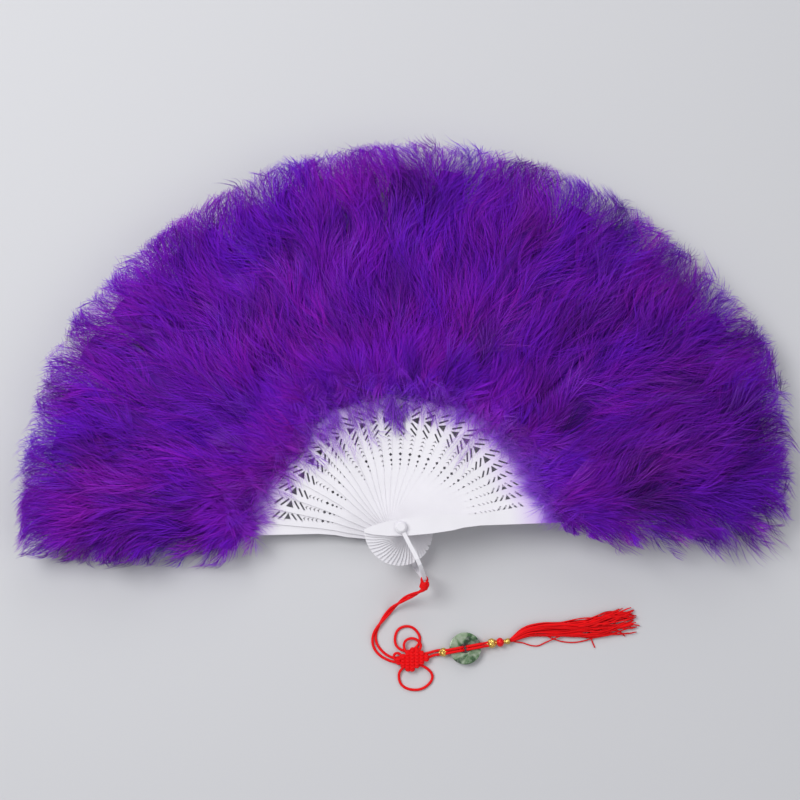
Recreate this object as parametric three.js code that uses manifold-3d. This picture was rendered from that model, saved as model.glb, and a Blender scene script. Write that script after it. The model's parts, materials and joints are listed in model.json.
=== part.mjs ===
// Folding feather fan, lying open on a table.
// Pierced plastic ribs and two plain guards turn on one pivot pin, each with a marabou plume on its
// slat. A bail straddles the pivot and carries a knotted cord with beads, a jade disc and a tassel.
// Millimetres, +Z up, the table at z = 0. Seen from above the plumes fan out towards +Y, the rear
// guard points to -X at the bottom of the stack and the front guard to +X on top of it.

import * as THREE from 'three';
import { mergeVertices } from 'three/addons/utils/BufferGeometryUtils.js';
import Module from 'manifold-3d';

const wasm = await Module();
wasm.setup();

// The fan as a whole
// Directions of the sticks in the open fan, from the rear guard through the ribs to the front guard
const stickDegrees = [
  178, 172.7, 165.9, 158.8, 149.5, 140.6, 134.6, 129.1, 123.8, 115.2, 108.5, 103.1, 96.1, 88.8,
  81.5, 74.5, 67.4, 60.1, 53.5, 46.6, 39.3, 32.7, 26.7, 21.5, 15.9, 10.4, 6,
];
const clearance = 0.3; // left between neighbouring pieces
const cutOverrun = 1; // how far a cut runs past the face it opens
const footGap = 0.5; // pin above the table

// Sticks, measured from the pivot along the stick, and half widths across it
const ribThickness = 0.8;
const guardThickness = 2.2;
const tailReach = 23;
const tailTipHalfWidth = 1;
const headReach = 20;
const headHalfWidth = 5.8;
const waistRadius = 46;
const ribWaistHalfWidth = 4.8;
const guardWaistHalfWidth = 3.6;
const shoulderHalfWidth = 7;
const shoulderTaper = 8; // length over which the shoulder narrows to the slat
const slatLead = 1; // bare length of the slat before its plume's body starts
const slatRootHalfWidth = 2.4;
const slatTipRadius = 205;
const slatTipHalfWidth = 1.5;
const tailCheekShare = 0.52; // of the tail's reach
const tailCheekWidthShare = 0.7; // of the head's half width
const neckShare = 0.48; // of the way from the head to the waist
const neckWidthShare = 0.67; // of the way from the waist's half width to the head's
const bladeSteps = 10;

// Pierced pattern of a rib, from the pivot outwards
const dotRadii = [39, 42, 44.9, 48.5];
const dotSizes = [1.2, 1.6, 1.9, 2.3];
const chevronRadii = [52.4, 55.1, 57.8, 60.4];
const chevronWidth = 3;
const chevronRise = 1.7;
const chevronStroke = 0.9;
const slashStroke = 1.1;
const innerSlashRadii = [63.2, 66.9];
const innerSlashLength = 6;
const innerSlashDegrees = -46;
const outerSlashRadii = [74.8, 78.8];
const outerSlashLength = 6.6;
const outerSlashDegrees = 50;
const triangleRadius = 71;
const triangleSize = 4.8;
const dotSides = 4;
const pinHoleSides = 8;

// Pivot pin and bail
const pinRadius = 2;
const pinHeadRadius = 3.6;
const pinHeadHeight = 1.3;
const pinHeadCrownShares = [0.7, 0.4]; // of the head's radius and height, where its edge rounds off
const pinSides = 12;
const bailDegrees = -62.6;
const bailReach = 36.7;
const bailThickness = 1.6;
const bailWidth = 2.5;
const bailEyeRadius = 4.2;
const bailStraightReach = 24;
const bailSteps = 22;
const bailKneeShares = [0.3, 0.155]; // of the way out to the tip, and up to the middle of the stack
const bailShinShares = [0.75, 0.62];

// Plumes
const plumeLipRadius = 80;
const endPlumeLipRadius = 93;
const plumeBodyRadius = 113;
const plumeReach = 246;
const plumeExtraReach = 15; // the plumes on the right are longer by this much
const plumeExtraStartShare = 0.5; // of the way from the rear guard to the front guard
const plumeExtraEndShare = 0.85;
const plumeRise = 15; // crown above the stick
const rearPlumeSpread = 28; // how far each end plume spreads past its guard's line
const frontPlumeSpread = 33;
const lipStep = 0.4; // length of the step from the lip down to the body
const rimLift = 11; // underside of the outer rim above the table
// Along the plume's body, from its root to its rim
const plumeStationShares = [0, 0.28, 0.55, 0.8, 0.93, 1];
const plumeCrownShares = [0.62, 0.95, 1, 0.8, 0.5, 0.2]; // of the rise
const plumeWidthShares = [1, 1, 1, 1, 0.82, 0.35]; // of the half sector
const plumeSpreadShares = [0.86, 1, 1, 0.88, 0.62, 0.25]; // of the end spread
const plumeLiftShares = [0, 0, 0, 0, 0.4, 1]; // of the rim's lift
const lipCrownShare = 0.34;
const lipWidthShare = 0.7;
const lipSpreadShare = 0.3;
const plumeShoulderShare = 0.6; // height of a plume's side edge, of its crown

// Hanging cord and what it carries; heights are above the table
const cordRadius = 1.7;
const cordSides = 8;
const strandRadius = 0.85;
const strandSides = 6;
const knotSize = [11.2, 8.9, 2.9];
const knotPlace = [9.9, -81.8, 2.9];
const knotAround = 12;
const knotUp = 6;
const loopStrandRadius = 0.85;
const loopAround = 16;
const upperLoopSize = [7.9, 7.9];
const upperLoopPlace = [6.5, -68.6];
const lowerLoopSize = [10.8, 8];
const lowerLoopPlace = [11.6, -93.4];
const firstBeadRadius = 2.95;
const firstBeadPlace = [29.8, -77.2];
const beadRadii = [3.2, 2.75, 2];
const beadPlaces = [[60.7, -71.5], [66.1, -70.9], [70.3, -70.3]];
const beadAround = 10;
const beadUp = 6;
const discRadius = 10.2;
const discHoleRadius = 3;
const discThickness = 2.6;
const discEdge = 0.6;
const discLift = 2.2;
const discPlace = [43.7, -74.8];
const discAround = 24;
const discLineDegrees = 10.4; // direction of the two strands across the disc
const tasselSides = 8;

// The cord from the bail's tip to the knot, chosen by hand
const cordRoute = [
  [18.35, -33.3, 19], [18.9, -35, 18.7], [17.8, -37.1, 17.4], [14.6, -39.1, 15.2],
  [10.4, -41, 12.1], [5.2, -43.4, 8.6], [0.9, -46.2, 5.6], [-2.8, -49.1, 3.4],
  [-5.3, -51.8, 2.2], [-8, -55.1, 1.75], [-10.5, -58.5, 1.75], [-12.6, -61.8, 1.75],
  [-14.2, -65.5, 1.75], [-14.6, -69.2, 1.75], [-13.8, -72.8, 1.75], [-12, -75.9, 1.75],
  [-8.9, -78.9, 1.8], [-5.2, -81, 2], [-2.2, -81.9, 2.3], [0.9, -82.2, 2.6], [3, -82.3, 2.9],
];
// The cord from the knot to the first bead
const cordToBeadRoute = [
  [16, -80.4, 2.9], [19.4, -79.3, 2.6], [22.9, -78.1, 2.4], [26.2, -77.4, 2.6], [29.8, -77.2, 2.95],
];
// A strand's loop round one side of the disc, from inside the bead there over the disc and down its
// hole: distance from the disc's centre towards the bead, distance beside the line through the
// beads, and height above the disc's middle. It goes back the same way below the disc
const strandLoop = [
  [12.6, 0.95, 0.9], [11.8, 0.95, 1.5], [10.8, 0.95, 2.2], [9.4, 0.95, 2.5], [6.4, 0.95, 2.5],
  [3.4, 0.95, 2.5], [2.2, 0.95, 2.1], [1.4, 0.95, 1.2],
];
const strandTurn = [1.2, 0.95, 0];
const nearStrandStart = [13.7, 0.95, 0.5];
const farStrandStart = [15.7, 0.95, 0.5];
// The tassel's middle line, and the width and height of its bundle of threads there
const tasselLine = [
  [73.1, -69.9, 2.1], [77, -68.1, 2.1], [83, -65.6, 2.2], [91, -64.1, 2.3], [102, -63.1, 2.3],
  [114, -62.3, 2.2], [127, -60.4, 2.1], [140, -58.4, 1.9], [149, -57.6, 1.7], [155.5, -57.2, 1.5],
];
const tasselWidths = [2.6, 5.6, 9, 11.4, 12, 12.4, 13.6, 15.4, 15, 10];
const tasselHeights = [2.6, 3.6, 4.2, 4.4, 4.4, 4.2, 4, 3.6, 3.2, 2.6];

const radians = THREE.MathUtils.degToRad;

// Places worked out from the sizes above
const lastStick = stickDegrees.length - 1;
const ribCount = lastStick - 1;
const slatRootRadius = plumeBodyRadius - slatLead;
const shoulderRadius = slatRootRadius - shoulderTaper;
const stackTop = 2 * guardThickness + ribCount * ribThickness + lastStick * clearance;
const frontGuardBottom = stackTop - guardThickness;
// The stack leans so that the outer ends of both guards lie at one height
const lean = Math.atan(frontGuardBottom / (2 * slatTipRadius));
const bailEyeBottom = clearance + bailThickness;
const pinBottom = bailEyeBottom + clearance;
const pivotLift = footGap + (pinBottom + pinHeadHeight) * Math.cos(lean)
  + pinHeadRadius * Math.sin(lean);

const plastic = new THREE.MeshStandardMaterial({ color: 0xf4f2f4, roughness: 0.35 });
const feather = new THREE.MeshStandardMaterial({ color: 0x4a109a, roughness: 0.9 });
const endFeather = new THREE.MeshStandardMaterial({ color: 0x3f0d88, roughness: 0.9 });
const redCord = new THREE.MeshStandardMaterial({ color: 0xd01018, roughness: 0.6 });
const gold = new THREE.MeshStandardMaterial({ color: 0xd9a537, roughness: 0.3, metalness: 0.9 });
const jade = new THREE.MeshStandardMaterial({ color: 0x8fa88c, roughness: 0.25 });

const fan = new THREE.Group();
const stack = new THREE.Group();
stack.rotation.y = lean;
stack.position.z = pivotLift;
fan.add(stack);

// Adds a named mesh to its carrier
function place(name, geometry, material, carrier) {
  const mesh = new THREE.Mesh(geometry, material);
  mesh.name = name;
  carrier.add(mesh);
  return mesh;
}

function solidFrom(geometry) {
  const bare = geometry.clone();
  bare.deleteAttribute('normal');
  bare.deleteAttribute('uv');
  const merged = mergeVertices(bare);
  return new wasm.Manifold(new wasm.Mesh({
    numProp: 3,
    vertProperties: merged.attributes.position.array,
    triVerts: new Uint32Array(merged.index.array),
  }));
}

function geometryFrom(solid) {
  const mesh = solid.getMesh();
  const geometry = new THREE.BufferGeometry();
  geometry.setAttribute('position', new THREE.BufferAttribute(mesh.vertProperties, 3));
  geometry.setIndex(new THREE.BufferAttribute(mesh.triVerts, 1));
  geometry.computeVertexNormals();
  return geometry;
}

// A closed solid through rings of equal counts; each ring runs counter-clockwise when seen from
// the far end, looking back along the solid
function loft(rings) {
  const positions = rings.flat().flatMap((point) => point.toArray());
  const count = rings[0].length;
  const index = [];
  for (let ring = 0; ring < rings.length - 1; ring += 1) {
    for (let side = 0; side < count; side += 1) {
      const here = ring * count + side;
      const next = ring * count + ((side + 1) % count);
      index.push(here, next, next + count, here, next + count, here + count);
    }
  }
  const last = (rings.length - 1) * count;
  for (let side = 1; side < count - 1; side += 1) {
    index.push(0, side + 1, side);
    index.push(last, last + side, last + side + 1);
  }
  const geometry = new THREE.BufferGeometry();
  geometry.setAttribute('position', new THREE.Float32BufferAttribute(positions, 3));
  geometry.setIndex(index);
  geometry.computeVertexNormals();
  return geometry;
}

function polygon(x, y, radius, sides) {
  return Array.from({ length: sides }, (_, corner) => {
    const turn = (corner / sides) * 2 * Math.PI;
    return new THREE.Vector2(x + radius * Math.cos(turn), y + radius * Math.sin(turn));
  });
}

function tube(route, radius, sides, steps) {
  const path = new THREE.CatmullRomCurve3(route.map((point) => new THREE.Vector3(...point)));
  const section = new THREE.Shape(polygon(0, 0, radius, sides));
  return new THREE.ExtrudeGeometry(section, { steps, bevelEnabled: false, extrudePath: path });
}

// Underside of stick number k above the bottom of the stack, and its thickness
function stickBottom(k) {
  if (k === 0) return 0;
  return guardThickness + clearance + (k - 1) * (ribThickness + clearance);
}

function stickThickness(k) {
  return k === 0 || k === lastStick ? guardThickness : ribThickness;
}

// Half the angle between two neighbouring sticks
function halfGap(k) {
  return radians((stickDegrees[k - 1] - stickDegrees[k]) / 2);
}

// Height, above a stick's own underside, of a point that is worldHeight above the table
function heightOnStick(k, x, y, worldHeight) {
  const angle = radians(stickDegrees[k]);
  const across = x * Math.cos(angle) - y * Math.sin(angle);
  return (worldHeight - pivotLift + across * Math.sin(lean)) / Math.cos(lean) - stickBottom(k);
}

// Outline of a stick: a spline from the tail to the shoulder on each side, and a straight slat
function stickOutline(waistHalfWidth) {
  const neckRadius = headReach + neckShare * (waistRadius - headReach);
  const neckHalfWidth = waistHalfWidth + neckWidthShare * (headHalfWidth - waistHalfWidth);
  const blade = new THREE.SplineCurve([
    new THREE.Vector2(-tailReach, tailTipHalfWidth),
    new THREE.Vector2(-tailReach * tailCheekShare, headHalfWidth * tailCheekWidthShare),
    new THREE.Vector2(headReach / 2, headHalfWidth),
    new THREE.Vector2(neckRadius, neckHalfWidth),
    new THREE.Vector2(waistRadius, waistHalfWidth),
    new THREE.Vector2((waistRadius + shoulderRadius) / 2, (waistHalfWidth + shoulderHalfWidth) / 2),
    new THREE.Vector2(shoulderRadius, shoulderHalfWidth),
  ]);
  const left = blade.getPoints(bladeSteps);
  left.push(new THREE.Vector2(slatRootRadius, slatRootHalfWidth));
  left.push(new THREE.Vector2(slatTipRadius, slatTipHalfWidth));
  const right = left.map((point) => new THREE.Vector2(point.x, -point.y));
  return right.concat(left.reverse());
}

function slash(radius, length, degrees, side) {
  const corners = [[-1, -1], [1, -1], [1, 1], [-1, 1]];
  return corners.map(([along, across]) => {
    const corner = new THREE.Vector2(along * length / 2, across * slashStroke / 2);
    corner.rotateAround(new THREE.Vector2(), radians(side * degrees));
    return corner.add(new THREE.Vector2(radius, 0));
  });
}

function chevron(radius) {
  const tip = radius + chevronRise / 2;
  const heel = radius - chevronRise / 2;
  return [
    new THREE.Vector2(tip, 0), new THREE.Vector2(heel, chevronWidth / 2),
    new THREE.Vector2(tip - chevronStroke, 0), new THREE.Vector2(heel, -chevronWidth / 2),
  ];
}

// The pierced pattern; side is +1 on the left half of the fan and -1 on the right, so that the
// triangle's apex points to the middle of the fan
function piercing(side) {
  const half = triangleSize / 2;
  const triangle = [
    new THREE.Vector2(triangleRadius, -side * half),
    new THREE.Vector2(triangleRadius + half, side * half),
    new THREE.Vector2(triangleRadius - half, side * half),
  ];
  return [
    ...dotRadii.map((radius, dot) => polygon(radius, 0, dotSizes[dot] / 2, dotSides)),
    ...chevronRadii.map((radius) => chevron(radius)),
    ...innerSlashRadii.map((radius) => slash(radius, innerSlashLength, innerSlashDegrees, side)),
    ...outerSlashRadii.map((radius) => slash(radius, outerSlashLength, outerSlashDegrees, side)),
    triangle,
  ];
}

function stickGeometry(thickness, waistHalfWidth, cuts) {
  const shape = new THREE.Shape(stickOutline(waistHalfWidth));
  const pinHoleRadius = (pinRadius + clearance) / Math.cos(Math.PI / pinHoleSides);
  const pinHole = polygon(0, 0, pinHoleRadius, pinHoleSides);
  shape.holes = [pinHole, ...cuts].map((points) => new THREE.Path(points));
  return new THREE.ExtrudeGeometry(shape, { depth: thickness, bevelEnabled: false });
}

// Slot in a plume for the slat that it is glued to
function slotSolid(thickness) {
  const start = slatRootRadius;
  const end = slatTipRadius + clearance;
  const rootHalfWidth = slatRootHalfWidth + clearance;
  const tipHalfWidth = slatTipHalfWidth + clearance;
  const shape = new THREE.Shape([
    new THREE.Vector2(start, -rootHalfWidth), new THREE.Vector2(end, -tipHalfWidth),
    new THREE.Vector2(end, tipHalfWidth), new THREE.Vector2(start, rootHalfWidth),
  ]);
  const depth = thickness + 2 * clearance;
  const geometry = new THREE.ExtrudeGeometry(shape, { depth, bevelEnabled: false });
  geometry.translate(0, 0, -clearance);
  return solidFrom(geometry);
}

// One ring of a plume at a radius: two side edges, the crown between them and two lower corners
function plumeRing(k, radius, widthShare, spreadShare, crown, bottomAt) {
  const sector = (gap) => (radius * Math.tan(halfGap(gap)) - clearance / 2) * widthShare;
  const left = k === 0 ? rearPlumeSpread * spreadShare : sector(k);
  const right = k === lastStick ? frontPlumeSpread * spreadShare : sector(k + 1);
  const top = stickThickness(k) + crown;
  const edge = stickThickness(k) + crown * plumeShoulderShare;
  return [
    new THREE.Vector3(radius, left, edge),
    new THREE.Vector3(radius, (left - right) / 2, top),
    new THREE.Vector3(radius, -right, edge),
    new THREE.Vector3(radius, -right, bottomAt(radius, -right)),
    new THREE.Vector3(radius, left, bottomAt(radius, left)),
  ];
}

// A plume: a thin lip that lies on the sticks, and from the slat's root on a body that reaches
// down to the table and thins to a raised rim
function plumeGeometry(k) {
  const isEnd = k === 0 || k === lastStick;
  const way = THREE.MathUtils.smoothstep(k / lastStick, plumeExtraStartShare, plumeExtraEndShare);
  const reach = plumeReach + plumeExtraReach * way;
  const above = Math.min(k + 1, lastStick);
  const lipHeight = stickBottom(above) + stickThickness(above) + clearance - stickBottom(k);
  const lipBottom = () => lipHeight;
  const rootCrown = lipHeight + plumeRise * plumeCrownShares[0];
  const lipRadius = isEnd ? endPlumeLipRadius : plumeLipRadius;
  const lipCrown = lipHeight + plumeRise * lipCrownShare;
  const rings = [
    plumeRing(k, lipRadius, lipWidthShare, lipSpreadShare, lipCrown, lipBottom),
    plumeRing(k, plumeBodyRadius - lipStep, 1, plumeSpreadShares[0], rootCrown, lipBottom),
  ];
  plumeStationShares.forEach((share, station) => {
    const radius = plumeBodyRadius + share * (reach - plumeBodyRadius);
    const underside = rimLift * plumeLiftShares[station];
    const bottomAt = (x, y) => heightOnStick(k, x, y, underside);
    const crown = station === 0 ? rootCrown : plumeRise * plumeCrownShares[station];
    rings.push(plumeRing(
      k, radius, plumeWidthShares[station], plumeSpreadShares[station], crown, bottomAt,
    ));
  });
  return geometryFrom(solidFrom(loft(rings)).subtract(slotSolid(stickThickness(k))));
}

function pinGeometry() {
  const [crownRadius, crownHeight] = pinHeadCrownShares;
  const head = [
    [0, pinHeadHeight], [pinHeadRadius * crownRadius, pinHeadHeight],
    [pinHeadRadius, pinHeadHeight * crownHeight], [pinHeadRadius, 0], [pinRadius, 0],
  ];
  const profile = [
    ...head.map(([radius, rise]) => new THREE.Vector2(radius, -pinBottom - rise)),
    ...head.reverse().map(([radius, rise]) => {
      return new THREE.Vector2(radius, stackTop + pinBottom + rise);
    }),
  ];
  return new THREE.LatheGeometry(profile, pinSides).rotateX(Math.PI / 2);
}

function ringGeometry(innerRadius, outerRadius, thickness, edge, around) {
  const profile = [
    [innerRadius + edge, 0], [outerRadius - edge, 0], [outerRadius, edge],
    [outerRadius, thickness - edge], [outerRadius - edge, thickness],
    [innerRadius + edge, thickness], [innerRadius, thickness - edge], [innerRadius, edge],
    [innerRadius + edge, 0],
  ].map(([radius, height]) => new THREE.Vector2(radius, height));
  return new THREE.LatheGeometry(profile, around).rotateX(Math.PI / 2);
}

// The bail: an eye on each end of the pin, and legs that run past the stack's tails and meet
function bailGeometry() {
  const middle = stackTop / 2;
  const legHeight = -clearance - bailThickness / 2;
  const tip = bailReach - bailThickness / 2;
  const lowerLeg = [
    [pinRadius + clearance + bailThickness / 2, legHeight],
    [(bailEyeRadius + bailStraightReach) / 2, legHeight],
    [bailStraightReach, legHeight],
    ...[bailKneeShares, bailShinShares].map(([outShare, upShare]) => [
      bailStraightReach + outShare * (tip - bailStraightReach),
      legHeight + upShare * (middle - legHeight),
    ]),
  ];
  const upperLeg = lowerLeg.map(([out, up]) => [out, stackTop - up]).reverse();
  const route = [...lowerLeg, [tip, middle], ...upperLeg].map(([out, up]) => [out, 0, up]);
  const path = new THREE.CatmullRomCurve3(route.map((point) => new THREE.Vector3(...point)));
  const halfThickness = bailThickness / 2;
  const halfWidth = bailWidth / 2;
  const section = new THREE.Shape([
    new THREE.Vector2(-halfThickness, -halfWidth), new THREE.Vector2(halfThickness, -halfWidth),
    new THREE.Vector2(halfThickness, halfWidth), new THREE.Vector2(-halfThickness, halfWidth),
  ]);
  const legs = new THREE.ExtrudeGeometry(section, {
    steps: bailSteps, bevelEnabled: false, extrudePath: path,
  });
  const edge = bailThickness / 4;
  const eye = () => ringGeometry(
    pinRadius + clearance, bailEyeRadius, bailThickness, edge, pinSides,
  );
  const bore = new THREE.CylinderGeometry(
    pinRadius + clearance, pinRadius + clearance, stackTop + 2 * pinBottom, pinSides,
  ).rotateX(Math.PI / 2).translate(0, 0, middle);
  const solid = solidFrom(legs)
    .add(solidFrom(eye().translate(0, 0, -bailEyeBottom)))
    .add(solidFrom(eye().translate(0, 0, stackTop + clearance)))
    .subtract(solidFrom(bore));
  return geometryFrom(solid);
}

function loopGeometry([halfWidth, halfHeight], [x, y]) {
  const ring = new THREE.TorusGeometry(halfWidth, loopStrandRadius, strandSides, loopAround);
  return ring.scale(1, halfHeight / halfWidth, 1).translate(x, y, loopStrandRadius);
}

// The two strands that loop round one side of the disc; towards is the side of their bead, -1 for
// the first bead and +1 for the second
function strandSolids(towards, start) {
  const line = new THREE.Vector2(1, 0).rotateAround(new THREE.Vector2(), radians(discLineDegrees));
  const way = [start, ...strandLoop];
  const back = way.map(([along, beside, height]) => [along, beside, -height]).reverse();
  const loop = [...way, strandTurn, ...back];
  return [-1, 1].map((side) => {
    const route = loop.map(([along, beside, height]) => [
      discPlace[0] + towards * along * line.x - side * beside * line.y,
      discPlace[1] + towards * along * line.y + side * beside * line.x,
      discLift + discThickness / 2 + height,
    ]);
    return solidFrom(tube(route, strandRadius, strandSides, route.length - 1));
  });
}

// The cord with its knot and the bead that is threaded on it, one solid
function cordGeometry() {
  const knot = new THREE.SphereGeometry(1, knotAround, knotUp).rotateX(Math.PI / 2)
    .scale(...knotSize).translate(...knotPlace);
  const bead = new THREE.SphereGeometry(firstBeadRadius, beadAround, beadUp)
    .translate(...firstBeadPlace, firstBeadRadius);
  const solids = [
    tube(cordRoute, cordRadius, cordSides, cordRoute.length - 1),
    tube(cordToBeadRoute, cordRadius, cordSides, cordToBeadRoute.length - 1),
    knot,
    bead,
    loopGeometry(upperLoopSize, upperLoopPlace),
    loopGeometry(lowerLoopSize, lowerLoopPlace),
  ].map((geometry) => solidFrom(geometry));
  const strands = strandSolids(-1, nearStrandStart);
  return geometryFrom([...solids, ...strands].reduce((whole, solid) => whole.add(solid)));
}

// The second bead, the red bead and the cap with the strands that hold the disc, one solid
function beadStackGeometry() {
  const solids = beadRadii.map((radius, bead) => {
    const sphere = new THREE.SphereGeometry(radius, beadAround, beadUp);
    return solidFrom(sphere.translate(...beadPlaces[bead], beadRadii[0]));
  });
  const strands = strandSolids(1, farStrandStart);
  return geometryFrom([...solids, ...strands].reduce((whole, solid) => whole.add(solid)));
}

function tasselGeometry() {
  const path = new THREE.CatmullRomCurve3(tasselLine.map((point) => new THREE.Vector3(...point)));
  const rings = tasselLine.map((point, station) => {
    const tangent = path.getTangent(station / (tasselLine.length - 1));
    const across = new THREE.Vector3(-tangent.y, tangent.x, 0).normalize();
    return polygon(0, 0, 1, tasselSides).map((corner) => {
      const place3 = new THREE.Vector3(...point);
      place3.addScaledVector(across, corner.x * tasselWidths[station] / 2);
      place3.z += corner.y * Math.min(tasselHeights[station] / 2, point[2]);
      return place3;
    });
  });
  return loft(rings);
}

const pin = place('pivot_pin', pinGeometry(), plastic, stack);
const bailCarrier = new THREE.Group();
bailCarrier.rotation.z = radians(bailDegrees);
stack.add(bailCarrier);
const bail = place('bail_loop', bailGeometry(), plastic, bailCarrier);

const standing = [pin, bail];
for (let k = 0; k <= lastStick; k += 1) {
  const carrier = new THREE.Group();
  carrier.rotation.z = radians(stickDegrees[k]);
  carrier.position.z = stickBottom(k);
  stack.add(carrier);
  const isEnd = k === 0 || k === lastStick;
  const side = k < lastStick / 2 ? 1 : -1;
  const number = String(k).padStart(2, '0');
  const stickName = k === 0 ? 'rear_guard' : k === lastStick ? 'front_guard' : `rib_${number}`;
  const cuts = isEnd ? [] : piercing(side);
  const waistHalfWidth = isEnd ? guardWaistHalfWidth : ribWaistHalfWidth;
  const stick = stickGeometry(stickThickness(k), waistHalfWidth, cuts);
  standing.push(place(stickName, stick, plastic, carrier));
  const plumeMaterial = isEnd ? endFeather : feather;
  standing.push(place(`${stickName}_plume`, plumeGeometry(k), plumeMaterial, carrier));
}

place('hanging_cord', cordGeometry(), redCord, fan);
const disc = ringGeometry(discHoleRadius, discRadius, discThickness, discEdge, discAround);
place('jade_disc', disc.translate(...discPlace, discLift), jade, fan);
place('bead_stack', beadStackGeometry(), gold, fan);
place('tassel', tasselGeometry(), redCord, fan);

// The origin lies under the middle of the fan itself, on the table
fan.updateMatrixWorld(true);
const outline = new THREE.Box3();
standing.forEach((mesh) => outline.expandByObject(mesh, true));
const middle = outline.getCenter(new THREE.Vector3());
fan.position.set(-middle.x, -middle.y, 0);

export default fan;
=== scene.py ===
"""The finish of a folding feather fan: plastic sticks, marabou plumes, and a knotted cord with
beads, a jade disc and a tassel. Metres, +Z up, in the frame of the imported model."""

import json
import math

import bpy
import numpy as np
from bpy.props import FloatProperty, FloatVectorProperty, IntProperty, PointerProperty
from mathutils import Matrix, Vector


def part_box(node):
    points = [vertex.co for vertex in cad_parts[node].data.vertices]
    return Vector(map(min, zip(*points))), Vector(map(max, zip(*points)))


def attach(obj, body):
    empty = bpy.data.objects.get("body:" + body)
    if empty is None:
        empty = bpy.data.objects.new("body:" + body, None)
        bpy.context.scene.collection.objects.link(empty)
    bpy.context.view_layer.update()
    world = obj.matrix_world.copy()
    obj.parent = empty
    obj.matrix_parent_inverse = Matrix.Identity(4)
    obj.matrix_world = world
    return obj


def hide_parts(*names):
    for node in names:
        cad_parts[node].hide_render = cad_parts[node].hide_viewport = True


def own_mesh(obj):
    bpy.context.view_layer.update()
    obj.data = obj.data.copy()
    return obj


bl_info = {
    "name": "Feather Fan",
    "version": (1, 0, 0),
    "blender": (4, 5, 0),
    "location": "View3D > Sidebar > Feather Fan",
    "description": "Builds the plumes, cord, beads and tassel of a folding feather fan",
    "category": "Add Mesh",
}

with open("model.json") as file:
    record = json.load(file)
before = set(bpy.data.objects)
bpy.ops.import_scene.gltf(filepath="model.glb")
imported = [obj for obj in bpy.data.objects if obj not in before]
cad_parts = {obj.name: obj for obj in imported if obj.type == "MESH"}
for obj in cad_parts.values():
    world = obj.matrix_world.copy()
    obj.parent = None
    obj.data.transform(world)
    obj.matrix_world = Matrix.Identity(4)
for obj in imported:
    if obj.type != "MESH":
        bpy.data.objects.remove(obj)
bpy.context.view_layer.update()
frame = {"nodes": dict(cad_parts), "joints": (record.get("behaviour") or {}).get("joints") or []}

MM = 0.001
TURN = 2 * math.pi
UP = np.array([0.0, 0.0, 1.0])
TINY = 1e-9
SEED = 41

# The stack of sticks leans: its axis and foot are those of the fold
FOLD = next(joint for joint in frame["joints"] if joint["name"] == "fan_fold")
PIVOT = np.array(FOLD["pos_m"])
STACK_UP = np.array(FOLD["axis"]) / np.linalg.norm(FOLD["axis"])
STACK_RIGHT = np.array([STACK_UP[2], 0, -STACK_UP[0]])
STACK_AXES = np.stack([STACK_RIGHT, np.cross(STACK_UP, STACK_RIGHT), STACK_UP])
# Places below that are given from the foot of the pivot are moved by this
FOOT = np.array([PIVOT[0], PIVOT[1], 0])

RIBS = sorted(name for name in frame["nodes"] if name.startswith("rib_") and "plume" not in name)
STICKS = ["rear_guard", *RIBS, "front_guard"]
LAST = len(STICKS) - 1


def from_foot(points):
    """Points given in millimetres from the foot of the pivot, in metres in the model's frame."""
    return np.array(points, float) * MM + FOOT


def to_stack(points):
    """Points in the stack's own frame: right, back and up along the pin from the pivot's foot."""
    return (points - PIVOT) @ STACK_AXES.T


def from_stack(points):
    """Points of the stack's own frame, in the model's frame."""
    return PIVOT + points @ STACK_AXES


def node_points(name):
    """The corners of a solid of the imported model, as rows of an array."""
    mesh = frame["nodes"][name].data
    flat = np.zeros(len(mesh.vertices) * 3, np.float32)
    mesh.vertices.foreach_get("co", flat)
    return flat.reshape(-1, 3).astype(float)


def colour_setting(name, description, default):
    """A colour that a user can change."""
    return FloatVectorProperty(
        name=name, description=description, default=default, subtype="COLOR", min=0, max=1)


def length_setting(name, description, default):
    """A length that a user can change; its default is given in millimetres."""
    return FloatProperty(
        name=name, description=description, default=default * MM, unit="LENGTH", precision=5)


def count_setting(name, description, default):
    """A number of like parts that a user can change."""
    return IntProperty(name=name, description=description, default=default, min=3)


class PlumeSettings(bpy.types.PropertyGroup):
    """Sizes and colours of the marabou plumes."""

    strands: count_setting("Strands", "Barbs of down in the plume of one rib", 3850)
    end_strands: count_setting("End Strands", "Barbs of down in the plume of a guard", 8000)
    strand_radius: length_setting("Strand Radius", "Radius of a barb at its thickest", 0.15)
    barb_length: length_setting("Barb Length", "Usual length of a barb", 32)
    rise: length_setting("Rise", "Height of the down above its stick", 17)
    # The deep colour is painted shade, given to the down's hollows and the barbs' roots
    deep_colour: colour_setting(
        "Deep Colour", "Colour of the down in its hollows", (0.035, 0.004, 0.13))
    violet: colour_setting("Violet", "Colour of most barbs", (0.2, 0.011, 0.72))
    magenta: colour_setting("Magenta", "Colour of the redder barbs", (0.36, 0.014, 0.6))
    # The lilac is also a painted highlight on a few feathers
    lilac: colour_setting("Lilac", "Colour of the fine wisps over the sticks", (0.46, 0.16, 0.9))


class StickSettings(bpy.types.PropertyGroup):
    """Finish of the moulded sticks, the pin and the bail."""

    plastic: colour_setting("Plastic", "Colour of the clean plastic", (0.84, 0.82, 0.86))
    # The colours at the edge of the down and under it are painted violet light from the down on the
    # plastic; the violet also stands in for fine down over the slats
    cast: colour_setting("Cast", "Colour of the plastic at the edge of the down", (0.6, 0.38, 0.86))
    violet_light_and_fluff: colour_setting("Dye", "Colour of the plastic under the down", (0.22, 0.035, 0.62))
    roughness: FloatProperty(
        name="Roughness", description="Mean roughness of the plastic",
        default=0.34, min=0, max=1, subtype="FACTOR")


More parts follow.
